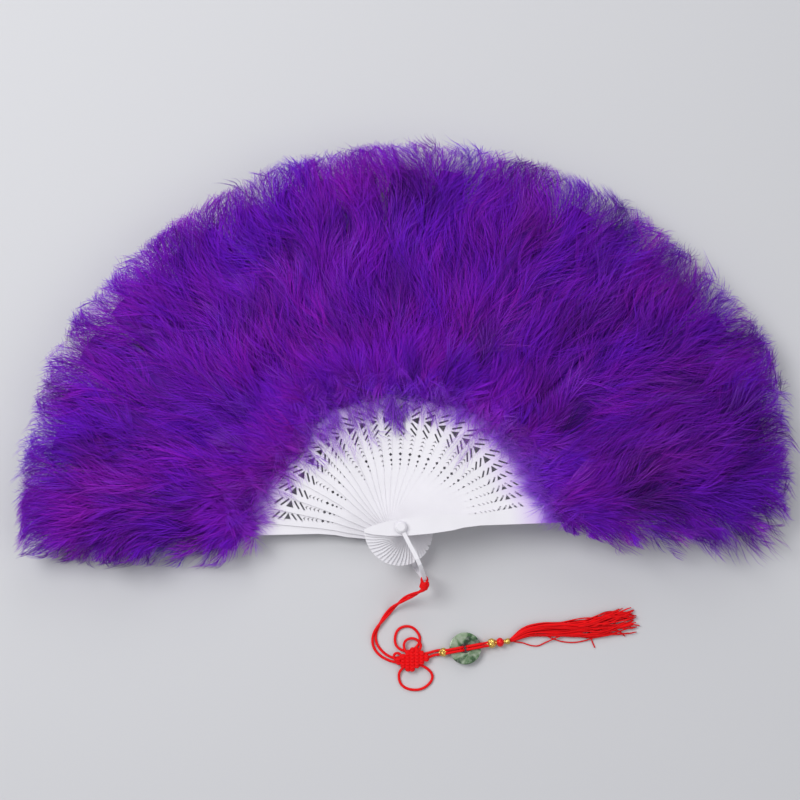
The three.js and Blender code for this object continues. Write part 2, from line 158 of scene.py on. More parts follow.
class CordSettings(bpy.types.PropertyGroup):
    """Sizes and colours of the cord, the knot and the tassel."""

    strand_radius: length_setting("Strand Radius", "Radius of one strand of the cord", 0.85)
    twist_length: length_setting(
        "Twist Length", "Length in which the two strands turn once round each other", 36)
    crossing: length_setting("Crossing", "Length from the knot to its strands' first crossing", 35)
    thread_radius: length_setting("Thread Radius", "Radius of one thread of the tassel", 0.42)
    threads: count_setting("Threads", "Threads in the tassel", 58)
    red: colour_setting("Red", "Colour of the satin cord", (0.93, 0.005, 0.008))


class TrinketSettings(bpy.types.PropertyGroup):
    """Colours of the beads and the disc."""

    gold: colour_setting("Gold", "Colour of the plated beads", (0.86, 0.56, 0.14))
    jade_pale: colour_setting("Pale Jade", "Colour of most of the disc", (0.24, 0.32, 0.21))
    jade_green: colour_setting(
        "Green Jade", "Colour between the disc's pale and dark parts", (0.08, 0.17, 0.07))
    jade_dark: colour_setting("Dark Jade", "Colour of the disc's mottles", (0.02, 0.05, 0.025))


class StageSettings(bpy.types.PropertyGroup):
    """The camera, the lamps and the floor."""

    elevation: FloatProperty(
        name="Elevation", description="Height of the camera above the horizon",
        default=math.radians(81), subtype="ANGLE")
    distance: length_setting("Distance", "From the camera to the middle of the picture", 1100)
    picture_width: length_setting(
        "Picture Width", "Width that the picture spans at that distance", 516)
    floor: colour_setting("Floor", "Colour of the floor", (0.6, 0.6, 0.62))


class FanSettings(bpy.types.PropertyGroup):
    """All the settings of the fan."""

    plumes: PointerProperty(type=PlumeSettings)
    sticks: PointerProperty(type=StickSettings)
    cord: PointerProperty(type=CordSettings)
    trinkets: PointerProperty(type=TrinketSettings)
    stage: PointerProperty(type=StageSettings)


def unit(vectors):
    """Vectors divided by their own lengths."""
    return vectors / np.maximum(np.linalg.norm(vectors, axis=-1, keepdims=True), TINY)


def across_of(axis, other):
    """The direction square to an axis and to up, or to the other one where the axis stands."""
    return unit(np.cross(axis, UP if abs(axis[2]) < 0.9 else np.array(other, float)))


def bell(place, middle, width):
    """A bell curve: e to the power of minus the square of the way from the middle by the width."""
    return np.exp(-((place - middle) / width) ** 2)


def ring_faces(index, closed=False):
    """Faces between the rings of grids, given the numbers of their points by grid, ring and place
    round the ring. A face joins neighbours of one ring to those of the next; the last ring joins
    the first where closed."""
    here = index if closed else index[:, :-1]
    there = np.roll(index, -1, axis=1) if closed else index[:, 1:]
    faces = [here, np.roll(here, -1, axis=2), np.roll(there, -1, axis=2), there]
    return np.stack(faces, axis=-1).reshape(-1, 4)


def ring_uv(copies, along_count, around_count, closed):
    """Texture places of those faces: once round the ring across, and once along the rings up."""
    rows = along_count if closed else along_count - 1
    along, around = np.meshgrid(np.arange(rows), np.arange(around_count), indexing="ij")
    corners = [(0, 0), (1, 0), (1, 1), (0, 1)]
    places = [((around + a) / around_count, (along + b) / along_count) for a, b in corners]
    grid = np.stack([np.stack(place, axis=-1) for place in places], axis=-2)
    return np.tile(grid.reshape(-1, 2), (copies, 1))


class Surface:
    """Points, faces, texture places and numbers of a piece, gathered from several grids."""

    def __init__(self):
        self.points, self.faces, self.places, self.numbers, self.count = [], [], [], {}, 0

    def add(self, points, faces, places=np.zeros((0, 2))):
        """Adds points and their faces, arrays whose rows are the corners of a face, with texture
        places for the first of the corners."""
        self.points.append(points.reshape(-1, 3))
        self.faces += [group + self.count for group in faces]
        blank = sum(group.size for group in faces) - len(places)
        self.places += [places, np.zeros((blank, 2))]
        self.count += len(self.points[-1])

    def note(self, **numbers):
        """Notes named numbers of the points added last, one for each point."""
        for key, values in numbers.items():
            self.numbers.setdefault(key, []).append(np.ravel(values))

    def rings(self, points, closed=False):
        """Adds grids of rings; open ones get flat ends."""
        shape = points.shape[:3]
        index = np.arange(math.prod(shape)).reshape(shape)
        ends = [] if closed else [index[:, 0, ::-1], index[:, -1]]
        self.add(points, [ring_faces(index, closed), *ends], ring_uv(*shape, closed))

    def rings_round(self, paths, radii, sides, closed=False):
        """Rings round each path: its point plus the radius times the cosine of the turn across the
        path and its sine above it."""
        paths = np.asarray(paths, float)
        if closed:
            tangents = unit(np.roll(paths, -1, axis=1) - np.roll(paths, 1, axis=1))
        else:
            tangents = unit(np.gradient(paths, axis=1))
        across = unit(np.cross(tangents, UP))
        above = np.cross(tangents, across)
        turns = TURN * np.arange(sides) / sides
        radii = np.broadcast_to(radii, paths.shape[:2])[:, :, None, None]
        cosine, sine = np.cos(turns)[:, None], np.sin(turns)[:, None]
        return paths[:, :, None] + radii * (cosine * across[:, :, None] + sine * above[:, :, None])

    def tubes(self, paths, radii, sides, closed=False):
        """Adds a tube along each path; open tubes get flat ends."""
        self.rings(self.rings_round(paths, radii, sides, closed), closed)

    def barbs(self, paths, radii, sides, numbers):
        """Adds a thin tube along each path whose far end is drawn to a point, and its numbers, one
        for each point of its path."""
        rings = self.rings_round(paths, radii, sides)[:, :-1]
        copies, along = rings.shape[:2]
        points = np.concatenate([rings.reshape(copies, -1, 3), paths[:, -1:]], axis=1)
        first = np.arange(copies)[:, None, None] * (along * sides + 1)
        index = first + np.arange(along * sides).reshape(1, along, sides)
        last = index[:, -1]
        tip = np.broadcast_to(first[:, 0] + along * sides, last.shape)
        tips = np.stack([last, np.roll(last, -1, axis=1), tip], axis=-1)
        self.add(points, [ring_faces(index), tips.reshape(-1, 3), index[:, 0, ::-1]])
        for key, rows in numbers.items():
            parts = [np.repeat(rows[:, :-1], sides, axis=1), rows[:, -1:]]
            self.note(**{key: np.concatenate(parts, axis=1)})

    def turned(self, profile, sides, centre, axis, closed=False, dent=None):
        """Adds a profile of (radius, height) pairs turned about an axis through the centre. A dent
        function of turn and share of the profile multiplies the radius."""
        axis = unit(np.array(axis, float))
        first = across_of(axis, (1, 0, 0))
        second = np.cross(axis, first)
        turns = TURN * np.arange(sides) / sides
        radius, height = np.array(profile, float).T[:, :, None]
        if dent is not None:
            radius = radius * dent(turns, np.linspace(0, 1, len(profile))[:, None])
        out = radius[..., None] * (np.cos(turns)[:, None] * first + np.sin(turns)[:, None] * second)
        self.rings((centre + out + height[..., None] * axis)[None], closed)

    def piece(self, name, material, smooth=True):
        """The gathered grids as one mesh object with its material."""
        mesh = bpy.data.meshes.new(name)
        corners = np.concatenate([group.ravel() for group in self.faces]).astype(np.int32)
        sizes = np.concatenate([np.full(len(group), group.shape[1]) for group in self.faces])
        starts = np.concatenate([[0], np.cumsum(sizes)[:-1]]).astype(np.int32)
        mesh.vertices.add(self.count)
        mesh.vertices.foreach_set("co", np.concatenate(self.points).astype(np.float32).ravel())
        mesh.loops.add(len(corners))
        mesh.loops.foreach_set("vertex_index", corners)
        mesh.polygons.add(len(starts))
        mesh.polygons.foreach_set("loop_start", starts)
        mesh.update(calc_edges=True)
        mesh.polygons.foreach_set("use_smooth", np.full(len(starts), smooth))
        layer = mesh.uv_layers.new(name="UVMap")
        layer.data.foreach_set("uv", np.concatenate(self.places).astype(np.float32).ravel())
        for key, parts in self.numbers.items():
            attribute = mesh.attributes.new(key, "FLOAT", "POINT")
            attribute.data.foreach_set("value", np.concatenate(parts).astype(np.float32))
        mesh.materials.append(material)
        made = bpy.data.objects.new(name, mesh)
        bpy.context.scene.collection.objects.link(made)
        return made


def slow_waves(seed, lengths, size):
    """A table of waves across the fan, each with its run in radians a metre to the right and back,
    its start and its height: directions and lengths drawn at random, heights summing like noise."""
    rng = np.random.default_rng(seed)
    count = 7
    run = TURN / (rng.uniform(*lengths, count) * MM)
    turn = rng.uniform(0, TURN, count)
    heights = size * rng.uniform(0.6, 1, count) * math.sqrt(2 / count)
    return np.stack([run * np.cos(turn), run * np.sin(turn), rng.uniform(0, TURN, count), heights])


def wave_height(waves, x, y):
    """The sum of the waves at places of the stack's plane: each its height times the sine of its
    runs times the place, plus its start."""
    right, back, start, height = waves.reshape(4, -1, *([1] * np.ndim(x)))
    return (height * np.sin(right * x + back * y + start)).sum(0)


def smooth_route(points, steps):
    """A route through the points, with steps places on each stretch: the cubic through four
    neighbours whose slope at a point is half the way from the one before to the one after."""
    points = np.array(points, float)
    ends = [2 * points[0] - points[1], *points, 2 * points[-1] - points[-2]]
    p = np.array(ends)
    t = np.linspace(0, 1, steps, endpoint=False)[None, :, None]
    a, b, c, d = (p[n:len(p) - 3 + n, None] for n in range(4))
    cubic = b + 0.5 * t * (c - a + t * (2 * a - 5 * b + 4 * c - d + t * (3 * (b - c) + d - a)))
    return np.concatenate([cubic.reshape(-1, 3), points[-1:]])


def lengths_along(route):
    """The length of the route up to each of its points."""
    steps = np.linalg.norm(np.diff(route, axis=0), axis=1)
    return np.concatenate([[0], np.cumsum(steps)])


def shares_along(route):
    """Those lengths as shares of the whole."""
    lengths = lengths_along(route)
    return lengths / lengths[-1]


def shaded(colour, share):
    """A colour with each channel times the share."""
    return [share * channel for channel in colour]


class Finish:
    """A material in the making."""

    def __init__(self, name):
        self.material = bpy.data.materials.new(name)
        self.material.use_nodes = True
        self.tree = self.material.node_tree

    def give(self, node, inputs):
        """Gives inputs of a node, by name or number, a value or the output of another node."""
        for key, given in inputs.items():
            if isinstance(given, bpy.types.NodeSocket):
                self.tree.links.new(given, node.inputs[key])
            else:
                node.inputs[key].default_value = given

    def add(self, kind, output, inputs, **settings):
        """One output of a new node of that kind, with some inputs and settings given."""
        node = self.tree.nodes.new("ShaderNode" + kind)
        for key, value in settings.items():
            setattr(node, key, value)
        self.give(node, inputs)
        return node.outputs[output]

    def place(self, kind="Object"):
        """The piece's coordinates of that kind."""
        return self.add("TexCoord", kind, {})

    def number(self, name):
        """The number of that name at the piece's points."""
        return self.add("Attribute", "Fac", {}, attribute_name=name)

    def noise(self, place, scale, detail=3, distortion=0):
        """Noise over the coordinates."""
        inputs = {"Vector": place, "Scale": scale, "Detail": detail, "Distortion": distortion}
        return self.add("TexNoise", "Fac", inputs)

    def ramp(self, share, stops):
        """A colour that runs through the (share, colour) stops."""
        node = self.tree.nodes.new("ShaderNodeValToRGB")
        elements = node.color_ramp.elements
        for number, (position, colour) in enumerate(stops):
            element = elements[number] if number < 2 else elements.new(position)
            element.position = position
            element.color = (*colour, 1)
        self.give(node, {"Fac": share})
        return node.outputs["Color"]

    def mixed(self, share, first, second):
        """The first colour where the share is 0 and the second where it is 1."""
        inputs = {"Factor": share, "A": first, "B": second}
        return self.add("Mix", "Result", inputs, data_type="RGBA")

    def ranged(self, value, source, target, run="LINEAR"):
        """The value, run from the source range to the target range."""
        names = ("From Min", "From Max", "To Min", "To Max")
        inputs = {"Value": value, **dict(zip(names, (*source, *target)))}
        return self.add("MapRange", "Result", inputs, interpolation_type=run)

    def bump(self, height, strength, distance):
        """A normal that leans with the height."""
        inputs = {"Height": height, "Strength": strength, "Distance": distance}
        return self.add("Bump", "Normal", inputs)

    def finished(self, inputs):
        """The material, with those inputs given to its main shader."""
        self.give(self.tree.nodes["Principled BSDF"], inputs)
        return self.material


# The sheen of satin cord and thread
SATIN = {"Roughness": 0.55, "Specular IOR Level": 0.15}
VEIN_GREY = (0.55, 0.58, 0.5, 1)


def plastic_material(settings):
    """Moulded white plastic: faint flow marks in its colour and roughness and a barely uneven skin,
    with painted violet light from the down on it, a lilac cast and then violet, which also stands
    in for fine down over the slats; it grows with the distance from the pivot. A length that falls
    to nothing behind the pivot is taken off that distance, so that the guards stay white further
    out."""
    finish = Finish("white_plastic")
    place = finish.place()
    flow = finish.noise(place, 45)
    untinted = finish.ramp(flow, [(0.3, shaded(settings.plastic, 0.95)), (0.7, settings.plastic)])
    from_pivot = finish.add("Mapping", "Vector", {"Vector": place, "Location": (-PIVOT).tolist()})
    back = finish.add("SeparateXYZ", "Y", {"Vector": from_pivot})
    guard_shift = finish.ranged(back, (12 * MM, 24 * MM), (8 * MM, 0), "SMOOTHSTEP")
    distance = finish.add("VectorMath", "Value", {0: from_pivot}, operation="LENGTH")
    reached = finish.add("Math", "Value", {0: distance, 1: guard_shift}, operation="SUBTRACT")
    # Painted light from the down, growing outwards: a lilac cast, then violet that also stands in
    # for fine down over the slats
    near_down = finish.ranged(reached, (66 * MM, 96 * MM), (0, 1), "SMOOTHSTEP")
    down_light_and_fluff = finish.ramp(near_down, [(0.6, settings.cast), (0.95, settings.violet_light_and_fluff)])
    rough = settings.roughness
    return finish.finished({
        "Base Color": finish.mixed(near_down, untinted, down_light_and_fluff),
        "Roughness": finish.ranged(flow, (0, 1), (rough - 0.07, rough + 0.07)),
        "Normal": finish.bump(finish.noise(place, 900), 0.06, 0.05 * MM),
    })


def down_material(settings):
    """Marabou down: the shade number runs from the deep colour, painted shade for the down's
    hollows, through the barbs' colour to a brighter one, a painted highlight on their lit tips; the
    tint runs from violet to magenta, and the wisp number pales it to lilac."""
    finish = Finish("violet_marabou")
    shade, tint, wisp = (finish.number(name) for name in ("shade", "tint", "wisp"))
    violets, magentas = (
        finish.ramp(shade, [(0, settings.deep_colour), (0.55, colour), (1, shaded(colour, 1.25))])
        for colour in (settings.violet, settings.magenta)
    )
    tinted = finish.mixed(tint, violets, magentas)
    return finish.finished({
        "Base Color": finish.mixed(wisp, tinted, (*settings.lilac, 1)),
        "Roughness": 0.6, "Specular IOR Level": 0.15, "Sheen Weight": 0.1, "Sheen Roughness": 0.4,
        "Sheen Tint": (0.5, 0.1, 0.9, 1),
    })


def cord_material(name, colour, braid_scale):
    """Satin cord: two sets of fine diagonal ridges that cross, along the piece's texture map; the
    cord is darkened between the ridges, painted shade in the braid's grooves.
    """
    finish = Finish(name)
    place = finish.place("UV")
    ridges = []
    for slant in (math.radians(35), -math.radians(35)):
        inputs = {"Vector": place, "Rotation": (0, 0, slant), "Scale": braid_scale}
        slanted = finish.add("Mapping", "Vector", inputs)
        ridges.append(finish.add("TexWave", "Fac", {"Vector": slanted, "Scale": 1}))
    crossed = finish.add("Math", "Value", dict(enumerate(ridges)), operation="MAXIMUM")
    return finish.finished({
        "Base Color": finish.ramp(crossed, [(0, shaded(colour, 0.55)), (0.8, colour)]),
        "Normal": finish.bump(crossed, 0.35, 0.12 * MM), **SATIN,
    })


def thread_material(colour):
    """Tassel thread: its shade differs from thread to thread."""
    finish = Finish("red_thread")
    shades = finish.ramp(finish.number("shade"), [(0, shaded(colour, 0.6)), (1, colour)])
    return finish.finished({"Base Color": shades, **SATIN})


def gold_material(settings):
    """Gold plate whose colour and roughness vary in small noise spots: darker and glossier in some,
    paler and rougher in others.
    """
    finish = Finish("gold_plate")
    spots = finish.noise(finish.place(), 900, 4)
    return finish.finished({
        "Base Color": finish.ramp(spots, [(0.3, shaded(settings.gold, 0.6)), (0.6, settings.gold)]),
        "Roughness": finish.ranged(spots, (0, 1), (0.16, 0.36)), "Metallic": 1,
    })


def bead_material(colour):
    """Glossy red bead, a little cloudy inside."""
    finish = Finish("red_bead")
    cloud = finish.noise(finish.place(), 400)
    shades = finish.ramp(cloud, [(0.3, shaded(colour, 0.7)), (0.7, colour)])
    return finish.finished({"Base Color": shades, "Roughness": 0.3, "Specular IOR Level": 0.3})


def jade_material(settings):
    """Polished stone: broad mottles of pale and dark green with fine grey veins."""
    finish = Finish("mottled_jade")
    place = finish.place()
    mottles = finish.ramp(finish.noise(place, 88, 5, 0.9), [
        (0.4, settings.jade_dark), (0.475, settings.jade_green), (0.56, settings.jade_pale),
        (0.7, shaded(settings.jade_pale, 1.5)),
    ])
    veins = finish.ramp(finish.noise(place, 380, 6), [(0.45, (0, 0, 0)), (0.62, (0.3, 0.3, 0.3))])
    return finish.finished({
        "Base Color": finish.mixed(veins, mottles, VEIN_GREY),
        "Roughness": 0.16, "Subsurface Weight": 0.15, "Subsurface Scale": 1,
        "Subsurface Radius": (0.6 * MM, 0.9 * MM, 0.5 * MM),
    })


# The cord, its knot and what is threaded on it, in millimetres from the foot of the pivot
CORD_TO_KNOT = [
    [18.35, -33.3, 19], [18.9, -35, 18.7], [17.8, -37.1, 17.4], [14.6, -39.1, 15.2],
    [10.4, -41, 12.1], [5.2, -43.4, 8.6], [0.9, -46.2, 5.6], [-2.8, -49.1, 3.4],
    [-5.3, -51.8, 2.2], [-8, -55.1, 1.75], [-10.5, -58.5, 1.75], [-12.6, -61.8, 1.75],
    [-14.2, -65.5, 1.75], [-14.6, -69.2, 1.75], [-13.8, -72.8, 1.75], [-12, -75.9, 1.75],
    [-8.9, -78.9, 1.8], [-5.2, -81, 2], [-2.2, -81.9, 2.3], [0.9, -82.2, 2.6], [3, -82.3, 2.9],
]
IN_KNOT = [9.9, -81.7, 2.9]
# The cord's turns round the bail's tip and round itself below it: the line that they wind round,
# their radii, and how many they are
HITCHES = [
    ([[17.5, -32.1, 17.5], [17.5, -32.1, 20.7]], (1.75, 2.1), 2.25),
    ([[17.6, -34.2, 18.9], [16.8, -37, 17.4]], (2, 1.7), 2.5),
]
CORD_TO_BEAD = [
    [16, -80.4, 2.9], [19.4, -79.3, 2.6], [22.9, -78.1, 2.4], [26.2, -77.4, 2.6],
    [29.8, -77.2, 2.95],
]
# The middle of the disc, and the turn of the line through it and the beads
DISC_PLACE = [43.7, -74.8, 3.5]
DISC_LINE = math.radians(10.4)
# A strand's loop round one side of the disc, in millimetres: towards the bead on that side, and
# above the disc's middle. It runs from inside the bead over the disc and into its hole, turns
# there, and goes back the same way below the disc, beside the line through the beads
STRAND_STARTS = {-1: (13.7, 0.5), 1: (15.7, 0.5)}
STRAND_LOOP = [
    (12.6, 0.9), (11.8, 1.5), (10.8, 2.2), (9.4, 2.5), (6.4, 2.5), (3.4, 2.5), (2.2, 2.1),
    (1.4, 1.2),
]
STRAND_TURN = (1.2, 0)
STRAND_BESIDE = 0.95 * MM
# The radius of the disc's hole, and how square its section is: the smaller, the squarer
DISC_HOLE = 3 * MM
DISC_SQUARENESS = 0.28
# The knot: the distance between its strands, the slant of its long loops, half its depth, and how
# far they weave over and under
KNOT_PLACE = [9.9, -81.8, 2.9]
KNOT_PITCH = 1.84 * MM
KNOT_SLANT = math.radians(35)
KNOT_HALF_DEPTH = 1.25 * MM
KNOT_WEAVE = 0.6 * MM
# Its round loops: middle, half width and half height, and the turn of their unevenness
KNOT_LOOPS = [
    ([6.5, -68.6, 0.9], (8, 7.9), 0.5), ([9.7, -73.4, 2.6], (5.4, 5), -0.4),
    ([11.6, -93, 0.9], (10.7, 8), -0.4), ([0.3, -80, 3.4], (2.3, 2.2), 0),
]
BEAD_PLACES = {
    "gold_bead_1": [29.8, -77.2, 2.95], "gold_bead_2": [60.7, -71.5, 3.2],
    "red_bead": [66.1, -70.9, 3.2], "tassel_cap": [70.3, -70.3, 3],
}
# The turn left open round a bead's poles, and the wire round them: its radius and its ring's
BEAD_POLE = 0.06
WIRE_RADIUS = 0.35 * MM
WIRE_RING = 1.25 * MM
# The strands' distance near the knot, as bell curves: height as a share of the usual distance, and
# middle and width in millimetres from the knot
WIDENINGS = [(0.9, 0, 5), (0.75, 17, 10)]
# How far below their route the strands lie side by side on the table, and the height of the route
# from which on they come down to it
LET_DOWN = 0.8 * MM
TABLE_ROUTE = 3 * MM
# The tassel's cap: radius, and place along the line from its middle
CAP_OUTLINE = [
    (0.9, -2.0), (1.25, -1.9), (1.4, -1.5), (1.2, -1.1), (1.4, -0.7), (1.7, -0.1), (1.85, 0.7),
    (1.8, 1.5), (1.6, 2.1), (1.35, 2.1), (1.4, 1.4), (1.1, 0.2), (0.9, -0.5),
]
TASSEL_LINE = [
    [72.4, -70, 2.7], [76.2, -67.9, 2.6], [80.3, -65.5, 2.6], [85.4, -63.6, 2.5],
    [95.1, -62.5, 2.4], [104.7, -62.6, 2.4], [114.3, -62, 2.3], [124, -61.3, 2.2],
    [131.7, -59.9, 2.1], [140.1, -58, 2], [148.5, -56.7, 1.8], [154.5, -55.8, 1.6],
]
TASSEL_WIDTHS = [1.6, 3.6, 5.8, 7, 9, 9.4, 10.6, 12.6, 13.6, 14.8, 15.4, 15.6]
TASSEL_HEIGHTS = [1.6, 2.8, 3.6, 4.2, 4.4, 4.4, 4.2, 4, 3.8, 3.6, 3.2, 2.8]
# Single threads beside the tassel
STRAYS = [
    [[73.2, -69.8, 2], [76.4, -70.6, 1.4], [81, -71.3, 0.8], [86.1, -72.9, 0.6],
     [90.6, -73.1, 0.7], [95.1, -71.1, 0.9], [99.5, -69.2, 2], [104.6, -67.1, 3]],
    [[95.6, -66.7, 2.4], [100.2, -68.6, 1.4], [106, -70.4, 0.7], [113.1, -71, 0.6],
     [119.5, -70.1, 0.8], [125.2, -68.4, 1.6], [130.3, -66.7, 2.4]],
    [[121.3, -65.6, 2.2], [124.3, -67.9, 1.5], [125.5, -70.7, 0.7], [127, -74.3, 0.6]],
    [[126, -57, 3], [134.6, -53.6, 2.6], [142.9, -49.7, 1.5]],
    [[132, -57, 3], [142, -53.6, 2.6], [152.6, -50.3, 1.5]],
    [[132, -60, 3], [143, -59.6, 2.4], [149.6, -59.4, 2], [155.9, -60.3, 1.5]],
    [[132, -63, 2.2], [140.6, -63, 1.8], [146.4, -66.9, 0.8]],
]

# The stage: the middle of the picture, the camera's sensor in millimetres, and the floor's half
# side and depth below the table's height
PICTURE_MIDDLE = Vector((-0.006, -0.0229, 0.02))
SENSOR_WIDTH = 36
FLOOR_HALF = 3.0
FLOOR_DROP = 0.1 * MM
# The lamps: place, diameter and power
LAMPS = {
    "key_lamp": ((-0.8, 0.3, 1.3), 0.9, 15),
    "fill_lamp": ((0.9, -0.5, 1.3), 1.4, 5),
    "back_lamp": ((0.1, 1.2, 0.9), 1.0, 4),
}


def disc_frame():
    """The disc's centre, the direction of the line across it, and the direction beside it."""
    line = np.array([math.cos(DISC_LINE), math.sin(DISC_LINE), 0])
    return from_foot(DISC_PLACE), line, np.array([-line[1], line[0], 0])


def strand_at_disc(towards, side):
    """One strand's loop round the disc: on the side of the next bead (1) or of the one before (-1),
    and left (1) or right (-1) of the line through the beads."""
    centre, line, beside = disc_frame()
    over = np.array([STRAND_STARTS[towards], *STRAND_LOOP])
    along, height = MM * np.concatenate([over, [STRAND_TURN], over[::-1] * (1, -1)]).T[:, :, None]
    return centre + towards * along * line + side * STRAND_BESIDE * beside + height * UP


class FAN_OT_stage(bpy.types.Operator):
    """Adds the camera, the lamps, the world and the floor."""

    bl_idname = "feather_fan.stage"
    bl_label = "Stage"

    def execute(self, context):
        scene, settings = context.scene, context.scene.feather_fan.stage
        scene.view_settings.view_transform = "Standard"
        lens = bpy.data.cameras.new("camera")
        lens.sensor_width = SENSOR_WIDTH
        lens.lens = SENSOR_WIDTH * settings.distance / settings.picture_width
        back = Vector((0, -math.cos(settings.elevation), math.sin(settings.elevation)))
        scene.camera = self.aimed("camera", lens, PICTURE_MIDDLE + back * settings.distance)
        for name, (place, size, power) in LAMPS.items():
            light = bpy.data.lights.new(name, "AREA")
            light.shape, light.size, light.energy = "DISK", size, power
            self.aimed(name, light, place)
        world = bpy.data.worlds.new("studio")
        world.use_nodes = True
        sky = world.node_tree.nodes["Background"].inputs
        sky["Color"].default_value = (0.8, 0.82, 0.86, 1)
        sky["Strength"].default_value = 0.45
        scene.world = world
        corners = [(-1, -1), (1, -1), (1, 1), (-1, 1)]
        mesh = bpy.data.meshes.new("floor")
        mesh.from_pydata(
            [(FLOOR_HALF * x, FLOOR_HALF * y, -FLOOR_DROP) for x, y in corners], [], [(0, 1, 2, 3)])
        plain = {"Base Color": (*settings.floor, 1), "Roughness": 0.8}
        mesh.materials.append(Finish("floor").finished(plain))
        floor = bpy.data.objects.new("floor", mesh)
        scene.collection.objects.link(floor)
        return {"FINISHED"}

    def aimed(self, name, data, place):
        """A camera or lamp at the place that looks at the middle of the picture."""
        made = bpy.data.objects.new(name, data)
        made.location = place
        made.rotation_euler = (PICTURE_MIDDLE - made.location).to_track_quat("-Z", "Y").to_euler()
        bpy.context.scene.collection.objects.link(made)
        return made


def stadium(reach, half_width, count):
    """A closed loop of two straight passes and two half rounds, as (along, beside) places at even
    steps of its length."""
    straight, bend = 2 * reach, math.pi * half_width
    way = np.arange(count) / count * 2 * (straight + bend)
    first, second = way - straight, way - 2 * straight - bend
    turn_a = np.clip(first / half_width, 0, math.pi)
    turn_b = np.clip(second / half_width, 0, math.pi)
    back = np.clip(first - bend, 0, straight)
    rounds = half_width * (np.sin(turn_a) - np.sin(turn_b))
    along = -reach + np.clip(way, 0, straight) - back + rounds
    return along, half_width * (np.cos(turn_b) - 1 - np.cos(turn_a))


class FAN_OT_knot(bpy.types.Operator):
    """Adds the woven knot, two layers of long loops that cross, and its round loops. A long loop's
    height is a dome over the knot plus a sine of the way along it, which weaves it over and under.
    A round loop is an uneven ellipse that rises where it meets the knot."""

    bl_idname = "feather_fan.knot"
    bl_label = "Knot"

    def execute(self, context):
        settings = context.scene.feather_fan.cord
        radius = settings.strand_radius
        surface = Surface()
        centre = from_foot(KNOT_PLACE)
        first = np.array([math.cos(KNOT_SLANT), -math.sin(KNOT_SLANT), 0])
        second = first * (1, -1, 1)
        sets = ((4, 3, first, second, 1), (3, 4, second, first, -1))
        for layer in (-1, 1):
            for count, others, along_axis, beside_axis, phase in sets:
                along, beside = stadium((others - 0.15) * KNOT_PITCH, KNOT_PITCH / 2, 72)
                wave = np.sin(math.pi * along / KNOT_PITCH) * beside / (KNOT_PITCH / 2)
                for number in range(count):
                    middle = (number - (count - 1) / 2) * 2 * KNOT_PITCH
                    dome = 1 - 0.35 * (along ** 2 + middle ** 2) / (4 * KNOT_PITCH) ** 2
                    height = layer * KNOT_HALF_DEPTH * dome + phase * KNOT_WEAVE * wave
                    path = (centre + along[:, None] * along_axis
                            + (middle + beside)[:, None] * beside_axis + height[:, None] * UP)
                    surface.tubes(path[None], radius, 8, closed=True)
        turns = TURN * np.arange(96) / 96
        for place, (half_width, half_height), skew in KNOT_LOOPS:
            near_knot = np.maximum(-np.sign(place[1] - KNOT_PLACE[1]) * np.sin(turns), 0)
            ring = np.stack([
                place[0] + half_width * np.cos(turns) * (1 + 0.04 * np.cos(3 * turns + skew)),
                place[1] + half_height * np.sin(turns), place[2] + 1.4 * near_knot,
            ], axis=-1)
            surface.tubes(from_foot(ring)[None], radius, 10, closed=True)
        material = cord_material("red_cord_knot", settings.red, (2, 60, 1))
        knot = surface.piece("cord_knot", material)
        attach(knot, "bail")
        return {"FINISHED"}


def diamond_cut(turn, share):
    """Radius of a faceted bead: two sets of slanting ridges that cross, faded at both ends."""
    slant = 5 * share * math.pi
    ridges = np.abs(np.sin(4 * turn + slant)) * np.abs(np.sin(4 * turn - slant))
    return 0.9 + 0.13 * ridges * np.sin(math.pi * share)


def ribbed(turn, share):
    """Radius of the tassel's cap: ten ribs, faded at both ends."""
    return 1 + 0.05 * np.cos(10 * turn) * np.sin(math.pi * share)


class FAN_OT_beads(bpy.types.Operator):
    """Adds the gold beads, half circles turned about the line with a round wire at each end, the
    red bead, a flatter one with two grooves, and the tassel's cap, a turned outline."""

    bl_idname = "feather_fan.beads"
    bl_label = "Beads"

    def execute(self, context):
        settings = context.scene.feather_fan
        gold = gold_material(settings.trinkets)
        red = bead_material(settings.cord.red)
        places = {name: from_foot(place) for name, place in BEAD_PLACES.items()}
        line = places["tassel_cap"] - places["gold_bead_2"]
        turn = np.linspace(BEAD_POLE, math.pi - BEAD_POLE, 25)
        half_circle = np.stack([np.sin(turn), -np.cos(turn)], axis=-1)
        wire = TURN * np.arange(10)[:, None] / 10
        wire = WIRE_RADIUS * np.concatenate([np.cos(wire), np.sin(wire)], axis=1)
        for name, axis, radius in (
            ("gold_bead_1", (1, 0.15, 0), 2.85 * MM), ("gold_bead_2", line, 3.1 * MM),
        ):
            surface = Surface()
            surface.turned(radius * half_circle, 64, places[name], axis, dent=diamond_cut)
            for end in (-1, 1):
                collar = wire + (WIRE_RING, end * 0.9 * radius)
                surface.turned(collar[::-1], 32, places[name], axis, closed=True)
            bead = surface.piece(name, gold, smooth=False)
            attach(bead, "bail")
        groove = 1 - 0.12 * (bell(turn, 0.3, 0.12) + bell(turn, math.pi - 0.3, 0.12))
        flatter = np.stack([groove, np.full(len(turn), 0.84)], axis=-1)
        surface = Surface()
        surface.turned(2.95 * MM * half_circle * flatter, 48, places["red_bead"], line)
        bead = surface.piece("red_bead", red)
        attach(bead, "bail")
        surface = Surface()
        outline = MM * np.array(CAP_OUTLINE)
        surface.turned(outline, 40, places["tassel_cap"], line, closed=True, dent=ribbed)
        cap = surface.piece("tassel_cap", gold)
        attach(cap, "bail")
        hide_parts("bead_stack")
        return {"FINISHED"}


